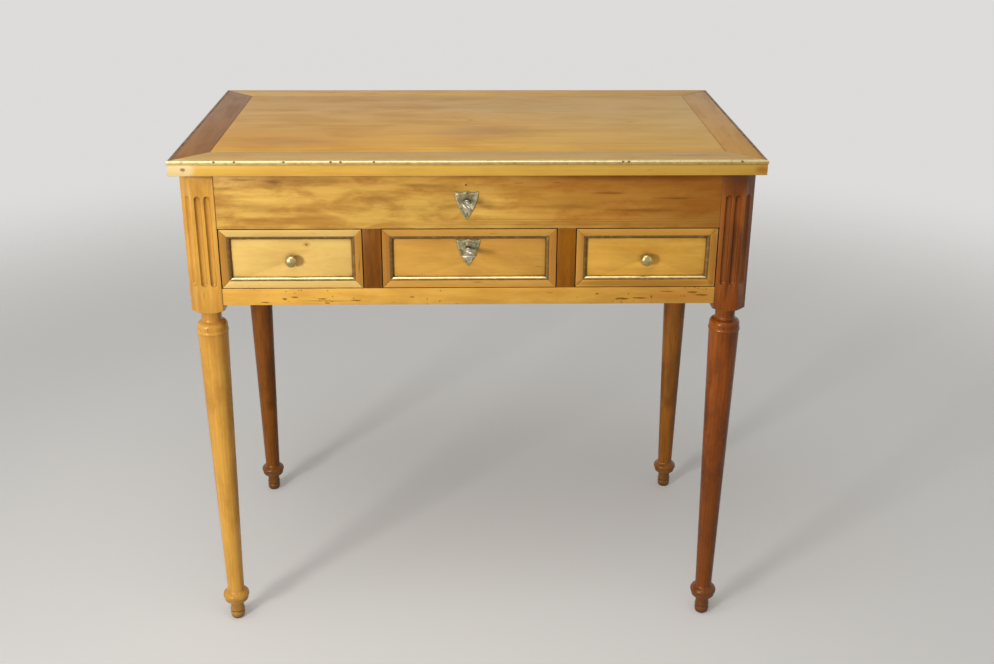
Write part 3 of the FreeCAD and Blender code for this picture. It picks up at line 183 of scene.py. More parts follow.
# Grain of a cherry board. The grain runs along X and the pith is the X axis itself.
def makeCherryGrain():
    tree, given, out = newGroup("cherryGrain", {
        "Place": "vector", "Pale": "colour", "Dark": "colour", "Red": "colour", "RingWidth": "value",
        "Wander": "value", "Push": "value", "Rings": "value", "Figure": "value", "Streaks": "value",
        "Patch": "value", "Lines": "value",
    }, {"Colour": "colour", "Grain": "value", "Relief": "value"})
    place, scales = given["Place"], grainScales
    # The rings: a distance from the pith that wanders, cut into turns
    slow = calc(tree, "SUBTRACT", noise(tree, place, scales["slow"], 2.0, 0.45), 0.5)
    quick = calc(tree, "SUBTRACT", noise(tree, place, scales["quick"], 2.0, 0.5), 0.5)
    axes = axesOf(tree, place)
    depth = times(tree, axes[2], axes[2])
    radius = calc(tree, "SQRT", timesPlus(tree, axes[1], axes[1], depth))
    radius = timesPlus(tree, slow, given["Wander"], radius)
    quickWander = times(tree, given["Wander"], ringShape["quickShare"])
    radius = timesPlus(tree, quick, quickWander, radius)
    radius = timesPlus(tree, axes[0], ringShape["taper"], calc(tree, "ADD", radius, given["Push"]))
    turns = calc(tree, "DIVIDE", radius, given["RingWidth"])
    sway = calc(tree, "SINE", times(tree, turns, ringShape["unevenTurns"]))
    turns = timesPlus(tree, sway, ringShape["uneven"], turns)
    part = calc(tree, "FRACT", turns)
    late = times(tree, ramp(tree, part, 0.15, 0.88), ramp(tree, part, 1.0, 0.88))
    # Blotches, streaks and fibres
    patchy = stretched(tree, place, given["Patch"])
    blotch = ramp(tree, noise(tree, patchy, scales["blotch"], 5.0, 0.62, 0.35), 0.38, 0.66)
    streak = ramp(tree, noise(tree, place, scales["streak"], 3.0, 0.6), 0.36, 0.68)
    blotch = times(tree, blotch, mottleShares["blotch"])
    mottle = timesPlus(tree, streak, mottleShares["streak"], blotch)
    fibre = noise(tree, place, scales["fibre"], 2.0, 0.6)
    fleck = ramp(tree, noise(tree, place, scales["fleck"], 1.0, 0.5), 0.72, 0.82)
    tone = times(tree, late, given["Rings"])
    tone = timesPlus(tree, mottle, given["Figure"], tone)
    tone = timesPlus(tree, calc(tree, "SUBTRACT", fibre, 0.5), given["Lines"], tone, clamp=True)
    reddish = ramp(tree, noise(tree, place, scales["reddish"], 3.0, 0.55), 0.44, 0.74)
    reddish = times(tree, reddish, given["Streaks"])
    colour = blend(tree, tone, given["Pale"], given["Dark"])
    colour = blend(tree, reddish, colour, given["Red"])
    deep = blend(tree, 1.0, colour, fleckLook["tint"], "MULTIPLY")
    colour = blend(tree, times(tree, fleck, fleckLook["amount"]), colour, deep)
    pores = ramp(tree, noise(tree, place, scales["pores"], 0.0, 0.5), 0.60, 0.72)
    raised = times(tree, fibre, reliefShares["fibre"])
    relief = calc(tree, "SUBTRACT", raised, times(tree, pores, reliefShares["pores"]))
    tree.links.new(colour, out["Colour"])
    tree.links.new(tone, out["Grain"])
    tree.links.new(relief, out["Relief"])
    return tree


# A mark with a ragged edge, such as a knot or a stain, round a centre
def makeMark():
    tree, given, out = newGroup("mark", {
        "Place": "vector", "Centre": "vector", "Size": "vector", "Ragged": "value", "Softness": "value",
    }, {"Mask": "value"})
    apart = vectorCalc(tree, "SUBTRACT", given["Place"], given["Centre"])[0]
    shares = vectorCalc(tree, "DIVIDE", apart, given["Size"])[0]
    away = vectorCalc(tree, "LENGTH", shares)["Value"]
    wobble = calc(tree, "SUBTRACT", noise(tree, shares, (1.3, 1.3, 1.3), 3.0, 0.6), 0.5)
    away = timesPlus(tree, wobble, given["Ragged"], away)
    inner = calc(tree, "SUBTRACT", 1.0, given["Softness"])
    tree.links.new(ramp(tree, away, inner, 1.0, 1.0, 0.0), out["Mask"])
    return tree


# One on the upright members of a mitred frame that faces the front, and nothing on the others
def makeMitre():
    inputs = {"Place": "vector", "Centre": "vector", "Half": "vector"}
    tree, given, out = newGroup("mitre", inputs, {"Upright": "value"})
    axes = insideBox(tree, given["Place"], given["Centre"], given["Half"])
    tree.links.new(calc(tree, "LESS_THAN", axes[0], axes[2]), out["Upright"])
    return tree


# A thin dark line round a board that is let in flush
def makeSeam():
    inputs = {"Place": "vector", "Centre": "vector", "Half": "vector", "Width": 2.6 * mm}
    tree, given, out = newGroup("seam", inputs, {"Mask": "value"})
    axes = insideBox(tree, given["Place"], given["Centre"], given["Half"])
    uneven = ramp(tree, noise(tree, given["Place"], (60, 60, 60), 2.0, 0.5), 0.25, 0.7, 0.7, 1.0)
    margin = calc(tree, "DIVIDE", calc(tree, "MINIMUM", axes[0], axes[1]), given["Width"])
    tree.links.new(times(tree, ramp(tree, margin, 1.3, 0.6), uneven), out["Mask"])
    return tree


# Dirt and painted shade in corners and hollows, found by ambient occlusion, and the paler worn line along an
# edge
def makeHandlingAndShade():
    tree, given, out = newGroup("handling", {
        "Colour": "colour", "Place": "vector", "Grime": paint(74, 40, 18), "GrimeAmount": "value",
        "GrimeAndShadeReach": 12 * mm, "Worn": paint(240, 200, 128), "WornAmount": "value", "EdgeWidth": 1.6 * mm,
    }, {"Colour": "colour", "Grime": "value"})
    # Ambient occlusion darkens corners, gaps and recesses: dirt and painted shade together
    hollow = addNode(tree, "ShaderNodeAmbientOcclusion", {"Distance": given["GrimeAndShadeReach"]}, samples=12)
    hollow = hollow.outputs["AO"]
    grimeAndShade = ramp(tree, hollow, 0.9, 0.36)
    uneven = noise(tree, given["Place"], (40, 40, 40), 3.0, 0.6)
    grimeAndShade = times(tree, grimeAndShade, ramp(tree, uneven, 0.2, 0.6, 0.55, 1.0))
    grimeAndShade = times(tree, grimeAndShade, given["GrimeAmount"], clamp=True)
    rounded = addNode(tree, "ShaderNodeBevel", {"Radius": given["EdgeWidth"]}, samples=6).outputs[0]
    flat = addNode(tree, "ShaderNodeNewGeometry").outputs["Normal"]
    same = vectorCalc(tree, "DOT_PRODUCT", rounded, flat)["Value"]
    edge = ramp(tree, same, 0.985, 0.86)
    edge = times(tree, edge, ramp(tree, hollow, 0.55, 0.9))
    edge = times(tree, edge, ramp(tree, uneven, 0.38, 0.6, 0.25, 1.0))
    colour = blend(tree, times(tree, edge, given["WornAmount"]), given["Colour"], given["Worn"])
    colour = blend(tree, grimeAndShade, colour, given["Grime"])
    tree.links.new(colour, out["Colour"])
    tree.links.new(grimeAndShade, out["Grime"])
    return tree


# Flight holes of woodworm: dark dots, crowded where the ground noise is high
def makeWormHoles():
    inputs = {"Place": "vector", "Spacing": 6 * mm, "Size": 0.9 * mm, "Crowd": "value"}
    tree, given, out = newGroup("wormHoles", inputs, {"Holes": "value"})
    small = stretched(tree, given["Place"], calc(tree, "DIVIDE", 1.0, given["Spacing"]))
    cells = addNode(tree, "ShaderNodeTexVoronoi", {"Vector": small, "Scale": 1.0})
    size = calc(tree, "DIVIDE", given["Size"], given["Spacing"])
    dot = ramp(tree, calc(tree, "DIVIDE", cells.outputs["Distance"], size), 1.15, 0.8)
    chance = addNode(tree, "ShaderNodeSeparateColor", {0: cells.outputs["Color"]}).outputs[0]
    ground = ramp(tree, noise(tree, given["Place"], (9, 9, 30), 1.0, 0.5), 0.42, 0.68)
    chosen = calc(tree, "LESS_THAN", chance, times(tree, ground, given["Crowd"]))
    tree.links.new(times(tree, dot, chosen), out["Holes"])
    return tree


cherryGrain = makeCherryGrain()
mark = makeMark()
mitre = makeMitre()
seam = makeSeam()
handling = makeHandlingAndShade()
wormHoles = makeWormHoles()
print("wood groups made")

# How far each way of the grain is turned from X
grainTurns = {"x": (0, 0, 0), "y": (0, 0, math.radians(90)), "z": (0, math.radians(90), 0)}

# Old wax over oil: a soft gleam and no hard reflections, rubbed to a shine on the legs
waxes = {
    "case": {"smooth": 0.34, "rough": 0.5, "specular": 0.3, "coat": 0.03},
    "lid": {"smooth": 0.34, "rough": 0.5, "specular": 0.16, "coat": 0.03},
    "leg": {"smooth": 0.18, "rough": 0.34, "specular": 0.5, "coat": 0.1},
}
waxTint, waxCoatRoughness = (1.0, 0.74, 0.42, 1.0), 0.2
seamInk = {"colour": paint(74, 40, 16), "amount": 0.95}
wormInk = {"colour": paint(60, 30, 14), "amount": 0.9, "depth": -6.0}
woodBump = {"strength": 0.25, "distance": 0.4 * mm, "soft": 0.6 * mm}


def turnedPlace(tree, coordinates, along, pith, shift):
    inputs = {"Vector": coordinates, "Rotation": grainTurns[along], "Location": (shift, *pith)}
    return addNode(tree, "ShaderNodeMapping", inputs).outputs[0]


def cherry(node, kind, tones, pith, rings, figure, streaks, along="x", ringWidth=6 * mm, wander=20 * mm,
           patch=1.0, lines=0.3, worms=0.0, grimeAndShade=0.85, worn=0.3, shift=0.0, marks=(), letIn=False,
           upright=None, wax="case"):
    material, tree, shader, coordinates = newMaterial(f"{node}_{kind}")
    middle, half = middleAndHalf(node)
    pale, dark, red = (paint(*tone) for tone in tones)
    place = turnedPlace(tree, coordinates, along, pith, shift)
    if upright:
        standing = placeGroup(tree, mitre, Place=coordinates, Centre=middle, Half=half)["Upright"]
        inputs = {0: standing, 4: place, 5: turnedPlace(tree, coordinates, "z", pith, shift)}
        place = addNode(tree, "ShaderNodeMix", inputs, data_type="VECTOR").outputs[1]
        pairs = zip((pale, dark), upright)
        pale, dark = (blend(tree, standing, lying, paint(*tone)) for lying, tone in pairs)
    push = 0.0
    masks = []
    for look in marks:
        mask = placeGroup(tree, mark, Place=coordinates, Centre=look["centre"], Size=look["size"],
                          Ragged=look["ragged"], Softness=look["softness"])["Mask"]
        masks.append((times(tree, mask, look["amount"]), paint(*look["colour"])))
        if look["push"]:
            push = timesPlus(tree, mask, look["push"], push)
    grain = placeGroup(tree, cherryGrain, Place=place, Pale=pale, Dark=dark, Red=red, RingWidth=ringWidth,
                       Wander=wander, Push=push, Rings=rings, Figure=figure, Streaks=streaks, Patch=patch,
                       Lines=lines)
    colour, relief = grain["Colour"], grain["Relief"]
    for mask, tint in masks:
        colour = blend(tree, mask, colour, tint)
    if letIn:
        line = placeGroup(tree, seam, Place=coordinates, Centre=middle, Half=half)["Mask"]
        colour = blend(tree, times(tree, line, seamInk["amount"]), colour, seamInk["colour"])
    if worms:
        holes = placeGroup(tree, wormHoles, Place=coordinates, Crowd=worms)["Holes"]
        colour = blend(tree, times(tree, holes, wormInk["amount"]), colour, wormInk["colour"])
        relief = timesPlus(tree, holes, wormInk["depth"], relief)
    agedAndShaded = placeGroup(tree, handling, Colour=colour, Place=coordinates, GrimeAmount=grimeAndShade, WornAmount=worn)
    tree.links.new(agedAndShaded["Colour"], shader["Base Color"])
    waxed = waxes[wax]
    gleam = ramp(tree, grain["Grain"], 0.0, 1.0, waxed["smooth"], waxed["rough"])
    tree.links.new(timesPlus(tree, agedAndShaded["Grime"], 0.25, gleam), shader["Roughness"])
    soft = addNode(tree, "ShaderNodeBevel", {"Radius": woodBump["soft"]}, samples=4).outputs[0]
    bump = addNode(tree, "ShaderNodeBump", {"Height": relief, "Strength": woodBump["strength"],
                                            "Distance": woodBump["distance"], "Normal": soft})
    tree.links.new(bump.outputs[0], shader["Normal"])
    shader["Specular IOR Level"].default_value = waxed["specular"]
    shader["Specular Tint"].default_value = waxTint
    shader["Coat Weight"].default_value = waxed["coat"]
    shader["Coat Roughness"].default_value = waxCoatRoughness
    return material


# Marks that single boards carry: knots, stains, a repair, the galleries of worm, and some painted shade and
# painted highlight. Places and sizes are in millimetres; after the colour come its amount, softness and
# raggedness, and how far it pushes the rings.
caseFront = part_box("front_frieze")[0].y / mm
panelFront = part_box("left_drawer_front")[0].y / mm
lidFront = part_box("lid_front_rail")[0].y / mm
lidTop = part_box("lid_panel")[1].z / mm
frontDepth, topDepth = 30, 100
darkKnot, smoke, pinkStain = (92, 50, 18), (150, 100, 44), (176, 112, 76)
brownLine, umber = (146, 92, 34), (112, 62, 20)
gallery = ((104, 56, 18), 0.8, 0.5, 1.3)


def stain(centre, size, colour, amount, softness, ragged=0.6, push=0.0):
    return {"centre": Vector(centre) * mm, "size": Vector(size) * mm, "colour": colour, "amount": amount,
            "softness": softness, "ragged": ragged, "push": push * mm}


def onFront(x, z, width, height, *look):
    return stain((x, caseFront, z), (width, frontDepth, height), *look)


def onTop(x, y, width, depth, *look):
    return stain((x, y, lidTop), (width, depth, topDepth), *look)


lidMarks = [onTop(*row) for row in (
    (360, 0, 500, 500, (255, 214, 120), 0.4, 1.0, 0.3),
    (-300, -80, 360, 260, (190, 130, 58), 0.38, 1.0, 0.4),
    (20, -60, 110, 60, (184, 122, 76), 0.45, 0.9, 0.8),
    (-260, -120, 120, 35, (174, 118, 70), 0.4, 0.9, 0.8),
    (2.3, 19, 7, 4, darkKnot, 0.5, 0.8),
    (241.9, 4.6, 12, 3, darkKnot, 0.5, 0.9),
    (60, 100, 200, 30, (222, 178, 104), 0.4, 0.9, 0.8),
)]
lidRailMarks = [
    stain((-392, lidFront, 728), (34, 20, 20), (244, 216, 158), 0.8, 0.35, 0.3),
    stain((-378.5, lidFront, 728.1), (4.5, 6, 3), (120, 78, 36), 0.8, 0.5, 0.5),
    stain((290, -195, lidTop), (80, 6, 20), pinkStain, 0.6, 0.8),
    stain((392, lidFront, 727), (14, 20, 8), (196, 112, 40), 0.7, 0.8),
]
friezeMarks = [onFront(*row) for row in (
    (-262, 707.5, 20, 6, darkKnot, 0.7, 0.9, 0.9, 4),
    (-306.4, 710.8, 30, 3, (120, 70, 26), 0.6, 0.9, 0.8, 3),
    (-230, 710, 90, 12, smoke, 0.55, 0.95, 1.0),
    (-290, 672, 60, 12, smoke, 0.45, 0.95, 1.0),
    (-4.3, 703.3, 2, 1.6, darkKnot, 0.9, 0.4),
    # Darker brown towards the right end: partly the board's own tone, partly painted shade of light that
    # falls from the left
    (400, 690, 420, 200, (164, 86, 12), 0.8, 1.0, 0.4),
    (150, 682, 200, 80, (190, 110, 20), 0.4, 1.0, 0.4),
    (170, 654.8, 320, 0.9, brownLine, 0.5, 0.9, 0.5),
    (190, 651.2, 300, 0.8, brownLine, 0.5, 0.9, 0.5),
    (150, 647.6, 360, 0.9, brownLine, 0.5, 0.9, 0.5),
    (-60, 702, 50, 5, smoke, 0.6, 0.9, 1.2),
    (-120, 684, 40, 6, smoke, 0.5, 0.9, 1.2),
    (190, 691.5, 30, 2, umber, 0.6, 0.8, 1.2),
    (280, 684, 35, 2, umber, 0.6, 0.8, 1.2),
    (200, 713, 200, 9, (120, 62, 14), 0.6, 0.9, 0.6),
    (120, 672, 90, 6, (140, 84, 24), 0.5, 0.9, 0.9),
    (240, 667, 70, 4, (126, 70, 18), 0.5, 0.9, 0.9),
    # Painted shadow under the lid's overhang, along the top of the frieze
    (20, 719.6, 240, 3.2, (44, 20, 8), 0.85, 0.6, 0.3),
    (0, 649, 400, 6, (186, 126, 52), 0.4, 0.8, 0.3),
)]
railMarks = [onFront(*row) for row in (
    (-200, 537, 50, 2, (150, 90, 34), 0.5, 0.9, 1.4),
    (214, 538.6, 12, 1.7, *gallery),
    (238, 539.5, 13, 1.5, *gallery),
    (254.5, 541, 1.6, 3.5, *gallery),
    (312, 547.8, 9, 2.2, *gallery),
    (325, 543.7, 11, 2, *gallery),
    (276, 549.2, 12, 1.1, *gallery),
    (178, 546, 3, 1.4, *gallery),
    (300, 540, 100, 30, (206, 120, 56), 0.4, 1.0),
    (-284, 535.2, 7, 1.3, *gallery),
    (-257, 540.2, 4, 2.2, *gallery),
    (-243, 542.8, 6, 1.6, *gallery),
    (-205, 540.2, 8, 1.4, *gallery),
    (-198, 534, 5, 1.2, *gallery),
    (-158, 537.8, 9, 1.3, *gallery),
    (-80, 542.5, 4, 1.2, *gallery),
)]
# The feet darker brown below about 60 mm
footDarkening = [stain((0, 0, 0), (1000, 1000, 60), (132, 92, 52), 0.45, 0.45)]
postPaintedLightAndShade = footDarkening + [
    # Painted shadow of the lid on the top of the right post
    stain((366, -200, 712), (60, 80, 30), (58, 24, 6), 0.7, 0.8),
    # Painted highlight: a lighter orange strip down the post's left side, towards the light
    stain((346, -210, 630), (18, 30, 140), (186, 106, 34), 0.55, 1.0, 0.5),
    # Painted shade: the lower right leg darker, most towards its right
    stain((380, -190, 120), (100, 100, 380), (80, 38, 10), 0.5, 1.0),
]
panelKnot = [
    stain((-223.5, panelFront, 618), (2.8, 20, 2.4), darkKnot, 0.85, 0.7),
    stain((-223.5, panelFront, 618), (8, 20, 6), (196, 120, 56), 0.5, 0.9),
]
mouldingTones = [onFront(*row) for row in (
    (244.5, 635.9, 130, 7, (214, 160, 76), 0.55, 0.5, 0.3),
    (244.5, 561.6, 130, 7, (146, 90, 30), 0.55, 0.5, 0.3),
    (336.7, 598.8, 7, 60, (150, 92, 32), 0.5, 0.5, 0.3),
)]

# What the boards of one kind share
lidBoard = dict(lines=0.16, wax="lid")
divider = dict(along="z", figure=0.8, lines=0.16, patch=1.6)
leg = dict(along="z", lines=0.16, grimeAndShade=1.3, wax="leg")
backLeg = dict(rings=0.15, figure=0.8, streaks=0.3, marks=footDarkening, **leg)
sidePanel = dict(along="y", rings=0.2, figure=0.5, streaks=0.3, lines=0.2)
moulding = dict(rings=0.1, figure=0.3, lines=0.16)
drawerFront = dict(rings=0.1, figure=0.5, streaks=0.25, lines=0.14, patch=1.5)

# The boards of the table, each with the pale, dark and reddish tones of its own tree
boards = {
    "lid_panel": dict(
        tones=((245, 189, 79), (208, 143, 56), (206, 128, 60)), pith=(-0.06, -0.64), rings=0.14,
        figure=0.55, streaks=0.3, ringWidth=9 * mm, wander=35 * mm, patch=0.8, marks=lidMarks, letIn=True,
        **lidBoard),
    "lid_front_rail": dict(
        tones=((236, 186, 83), (201, 142, 56), (192, 117, 49)), pith=(0.24, -0.66), rings=0.12, figure=0.35,
        streaks=0.2, marks=lidRailMarks, **lidBoard),
    "lid_back_rail": dict(
        tones=((242, 190, 104), (199, 138, 68), (186, 112, 66)), pith=(-0.2, -0.66), rings=0.15,
        figure=0.35, streaks=0.25, **lidBoard),
    "lid_left_rail": dict(
        tones=((174, 116, 55), (133, 82, 37), (161, 90, 44)), pith=(0.36, -0.68), rings=0.15, figure=0.5,
        streaks=0.3, along="y", **lidBoard),
    "lid_right_rail": dict(
        tones=((218, 162, 74), (176, 117, 46), (180, 108, 48)), pith=(-0.36, -0.68), rings=0.15,
        figure=0.45, streaks=0.3, along="y", **lidBoard),
    "front_frieze": dict(
        tones=((238, 191, 92), (184, 129, 54), (197, 129, 54)), pith=(0.1, -0.69), rings=0.14, figure=0.9,
        streaks=0.25, wander=30 * mm, patch=1.7, lines=0.25, marks=friezeMarks),
    "front_bottom_rail": dict(
        tones=((241, 186, 81), (205, 139, 54), (205, 125, 52)), pith=(0.16, -0.5), rings=0.12, figure=0.5,
        streaks=0.2, worms=0.8, lines=0.2, patch=1.6, marks=railMarks),
    "left_divider": dict(
        tones=((145, 84, 21), (92, 49, 10), (107, 53, 13)), pith=(0.2, 0.12), rings=0.15, streaks=0.4,
        ringWidth=9 * mm, **divider),
    "right_divider": dict(
        tones=((162, 97, 13), (120, 68, 6), (123, 68, 8)), pith=(0.2, -0.12), rings=0.12, streaks=0.3,
        ringWidth=10 * mm, **divider),
    "front_left_leg": dict(
        tones=((239, 178, 76), (179, 117, 41), (185, 109, 41)), pith=(0.2, -0.32), rings=0.12, figure=0.6,
        streaks=0.2, marks=footDarkening, **leg),
    "front_right_leg": dict(
        tones=((169, 85, 18), (69, 26, 6), (116, 42, 6)), pith=(0.2, 0.4), rings=0.15, figure=0.6,
        streaks=0.35, patch=1.5, marks=postPaintedLightAndShade, **leg),
    "back_left_leg": dict(
        tones=((154, 86, 19), (83, 40, 6), (99, 46, 6)), pith=(-0.2, -0.32), **backLeg),
    "back_right_leg": dict(
        tones=((177, 109, 33), (96, 50, 10), (115, 56, 12)), pith=(-0.2, 0.4), **backLeg),
    "left_side_panel": dict(
        tones=((204, 144, 66), (160, 102, 42), (152, 86, 36)), pith=(0.44, -0.63), **sidePanel),
    "right_side_panel": dict(
        tones=((196, 136, 60), (152, 94, 38), (144, 80, 34)), pith=(-0.44, -0.63), **sidePanel),
    "left_drawer_front": dict(
        tones=((247, 206, 117), (217, 165, 80), (219, 155, 82)), pith=(0.1, -0.58), rings=0.08, figure=0.45,
        streaks=0.2, lines=0.12, patch=1.5, marks=panelKnot),
    "left_drawer_moulding": dict(
        tones=((242, 205, 121), (216, 166, 86), (208, 144, 75)), upright=((195, 138, 58), (163, 105, 37)),
        pith=(0.1, -0.62), streaks=0.15, **moulding),
    "centre_drawer_front": dict(
        tones=((232, 175, 80), (200, 139, 57), (206, 133, 62)), pith=(0.1, -0.6), **drawerFront),
    "centre_drawer_moulding": dict(
        tones=((222, 166, 75), (190, 130, 52), (190, 115, 54)), upright=((192, 131, 55), (157, 100, 34)),
        pith=(0.1, -0.64), streaks=0.2, **moulding),
    "right_drawer_front": dict(
        tones=((244, 189, 82), (205, 143, 54), (210, 135, 56)), pith=(0.1, -0.55), **drawerFront),
    "right_drawer_moulding": dict(
        tones=((227, 165, 66), (190, 121, 42), (190, 109, 46)), upright=((216, 156, 70), (175, 113, 45)),
        pith=(0.1, -0.61), streaks=0.2, marks=mouldingTones, **moulding),
}


def setFinish(piece, material):
    piece.data.materials.clear()
    piece.data.materials.append(material)


for node, look in boards.items():
    setFinish(nodes[node], cherry(node, "cherry", **look))
print("cherry boards:", len(boards))

# Inside and behind: plain boards of a paler timber, each with the way of its grain and its pith
plainBoards = {
    "well_floor": ("x", (0.02, -0.62)),
    "back_panel": ("x", (-0.12, -0.55)),
    "drawer_runners": ("y", (0.03, -0.5)),
    "drawer_stops": ("x", (0.1, -0.5)),
    "lid_mirror_frame": ("x", (0.1, -0.66)),
    "left_drawer_sides": ("y", (0.27, -0.56)),
    "left_drawer_back": ("x", (-0.1, -0.52)),
    "left_drawer_bottom": ("x", (0.05, -0.5)),
    "centre_drawer_sides": ("y", (0.06, -0.53)),
    "centre_drawer_back": ("x", (-0.08, -0.5)),
    "centre_drawer_bottom": ("x", (-0.04, -0.49)),
    "right_drawer_sides": ("y", (-0.2, -0.57)),
    "right_drawer_back": ("x", (-0.12, -0.54)),
    "right_drawer_bottom": ("x", (0.08, -0.48)),
}
plainLook = dict(tones=((206, 170, 118), (160, 120, 74), (150, 108, 70)), rings=0.5, figure=0.4, streaks=0.3,
                 ringWidth=5 * mm, worms=0.25, grimeAndShade=0.6, worn=0.15)
# Each plain board is cut from farther along the trunk than the one before
plainShift = 0.37

for number, (node, (along, pith)) in enumerate(plainBoards.items()):
    plain = cherry(node, "plain", along=along, pith=pith, shift=number * plainShift, **plainLook)
    setFinish(nodes[node], plain)
print("plain boards:", len(plainBoards))

metalLook = {"grimeAndShade": 0.9, "worn": 0.8, "nick": 0.85, "leastMetallic": 0.55, "bump": 0.3,
             "scratch": 0.06 * mm}


# Old metal: bright where it is rubbed; painted shade darkens what does not face up, and grime with painted
# shade darkens the hollows
def metal(name, bright, dullAndShaded, dirtAndShade, smooth, rough, dullness, paintedShadeBelow=0.0, speckle=0.0, edge=0.5 * mm,
          nicks=()):
    material, tree, shader, place = newMaterial(name)
    bright, dullAndShaded, dirtAndShade = (paint(*tone) for tone in (bright, dullAndShaded, dirtAndShade))
    patches = ramp(tree, noise(tree, place, (130, 130, 130), 4.0, 0.6), 0.35, 0.68)
    tarnishAndShade = times(tree, patches, dullness)
    if paintedShadeBelow:
        # Painted shade: what faces sideways or down is darkened, mixed in with the tarnish
        height = axesOf(tree, addNode(tree, "ShaderNodeNewGeometry").outputs["True Normal"])[2]
        tarnishAndShade = timesPlus(tree, ramp(tree, height, 0.6, 0.0), paintedShadeBelow, tarnishAndShade, clamp=True)
    colour = blend(tree, tarnishAndShade, bright, dullAndShaded)
    agedAndShaded = placeGroup(tree, handling, Colour=colour, Place=place, Grime=dirtAndShade, GrimeAmount=metalLook["grimeAndShade"],
                      Worn=bright, WornAmount=metalLook["worn"], EdgeWidth=edge)
    # The grime mask holds dirt and painted shade from ambient occlusion
    colour, soiledAndShaded = agedAndShaded["Colour"], agedAndShaded["Grime"]
    if speckle:
        specks = ramp(tree, noise(tree, place, (420, 420, 420), 2.0, 0.6), 0.60, 0.70)
        colour = blend(tree, times(tree, specks, speckle), colour, dirtAndShade)
    # Each dent gets a dark mark: dirt and painted shade in the hollow
    for nick in nicks:
        hollow = placeGroup(tree, mark, Place=place, Centre=nick, Size=dents["stain"], Ragged=0.4,
                            Softness=0.5)["Mask"]
        soiledAndShaded = calc(tree, "MAXIMUM", soiledAndShaded, hollow)
        colour = blend(tree, times(tree, hollow, metalLook["nick"]), colour, dirtAndShade)
    tree.links.new(colour, shader["Base Color"])
    dulled = calc(tree, "MAXIMUM", tarnishAndShade, soiledAndShaded)
    tree.links.new(ramp(tree, dulled, 0.0, 1.0, smooth, rough), shader["Roughness"])
    tree.links.new(ramp(tree, dulled, 0.2, 1.0, 1.0, metalLook["leastMetallic"]), shader["Metallic"])
    lines = noise(tree, place, (900, 900, 2600), 2.0, 0.6)
    bump = addNode(tree, "ShaderNodeBump", {"Height": lines, "Strength": metalLook["bump"],
                                            "Distance": metalLook["scratch"]})
    tree.links.new(bump.outputs[0], shader["Normal"])
    return material


# The dents along the front of the lid's bead, in millimetres from its middle, and the dark mark of dirt and
# painted shade in each
dents = {
    "places": (-337, -310, -245, -183, -170, -126, 204.6, 212.5, 364), "radius": 1.7 * mm,
    "inward": 0.2 * mm, "above": 0.45, "stain": (2.4 * mm, 4 * mm, 1.6 * mm),
    "dentDarkInward": 0.45 * mm, "dentDarkBelow": 1.5 * mm,
}
beadLow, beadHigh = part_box("lid_brass_bead")
nickPlaces = [(x * mm, beadLow.y + dents["dentDarkInward"], beadHigh.z - dents["dentDarkBelow"])
              for x in dents["places"]]

# paintedShadeBelow darkens the faces of the beads that do not look up
metals = {
    "brassPlate": dict(bright=(226, 216, 172), dullAndShaded=(108, 104, 66), dirtAndShade=(52, 46, 24), smooth=0.28, rough=0.5,
                       dullness=0.95, speckle=0.3, edge=0.9 * mm),
    "brassKnob": dict(bright=(206, 188, 132), dullAndShaded=(140, 120, 74), dirtAndShade=(66, 50, 28), smooth=0.24, rough=0.45,
                      dullness=0.5),
    "brassBead": dict(bright=(246, 230, 166), dullAndShaded=(124, 90, 40), dirtAndShade=(58, 36, 14), smooth=0.26, rough=0.6,
                      dullness=0.25, paintedShadeBelow=0.9),
    "brassLidBead": dict(bright=(236, 218, 158), dullAndShaded=(160, 124, 62), dirtAndShade=(58, 36, 14), smooth=0.28,
                         rough=0.6, dullness=0.25, paintedShadeBelow=0.6, speckle=0.45, nicks=nickPlaces),
    # The lid bead's sides: a darker copy of its brass, a painted dark reflection
    "brassDarkReflection": dict(bright=(150, 116, 64), dullAndShaded=(94, 64, 34), dirtAndShade=(50, 30, 14), smooth=0.4, rough=0.65,
                       dullness=0.8, paintedShadeBelow=0.3, speckle=0.3),
    "keyIron": dict(bright=(206, 202, 186), dullAndShaded=(140, 132, 112), dirtAndShade=(66, 50, 34), smooth=0.34, rough=0.5,
                    dullness=0.4, speckle=0.2),
    "lockIron": dict(bright=(112, 106, 98), dullAndShaded=(74, 64, 56), dirtAndShade=(48, 32, 22), smooth=0.4, rough=0.7,
                     dullness=0.7, speckle=0.6),
}
finishes = {name: metal(name, **look) for name, look in metals.items()}

mirrorLook = {
    "silver": paint(226, 228, 222), "fox": paint(74, 62, 48), "specular": 0.15, "smooth": 0.03, "rough": 0.8,
    "foxReach": 45 * mm, "foxShare": 0.32, "speckShare": 0.6,
}


# Old silvering: a soft grey mirror with dark foxing that grows from its edges
def makeMirrorGlass():
    look = mirrorLook
    material, tree, shader, place = newMaterial("agedMirror")
    axes = insideBox(tree, place, *middleAndHalf("lid_mirror"))
    near = ramp(tree, calc(tree, "MINIMUM", axes[0], axes[1]), look["foxReach"], 0.0)
    cloud = noise(tree, place, (60, 60, 60), 4.0, 0.65)
    specks = ramp(tree, noise(tree, place, (260, 260, 260), 2.0, 0.6), 0.62, 0.7)
    fox = ramp(tree, timesPlus(tree, near, look["foxShare"], cloud), 0.62, 0.78)
    fox = calc(tree, "MAXIMUM", fox, times(tree, specks, look["speckShare"]))
    tree.links.new(blend(tree, fox, look["silver"], look["fox"]), shader["Base Color"])
    tree.links.new(ramp(tree, fox, 0.0, 1.0, look["smooth"], look["rough"]), shader["Roughness"])
    tree.links.new(ramp(tree, fox, 0.0, 0.6, 1.0, 0.0), shader["Metallic"])
    shader["Specular IOR Level"].default_value = look["specular"]
    return material


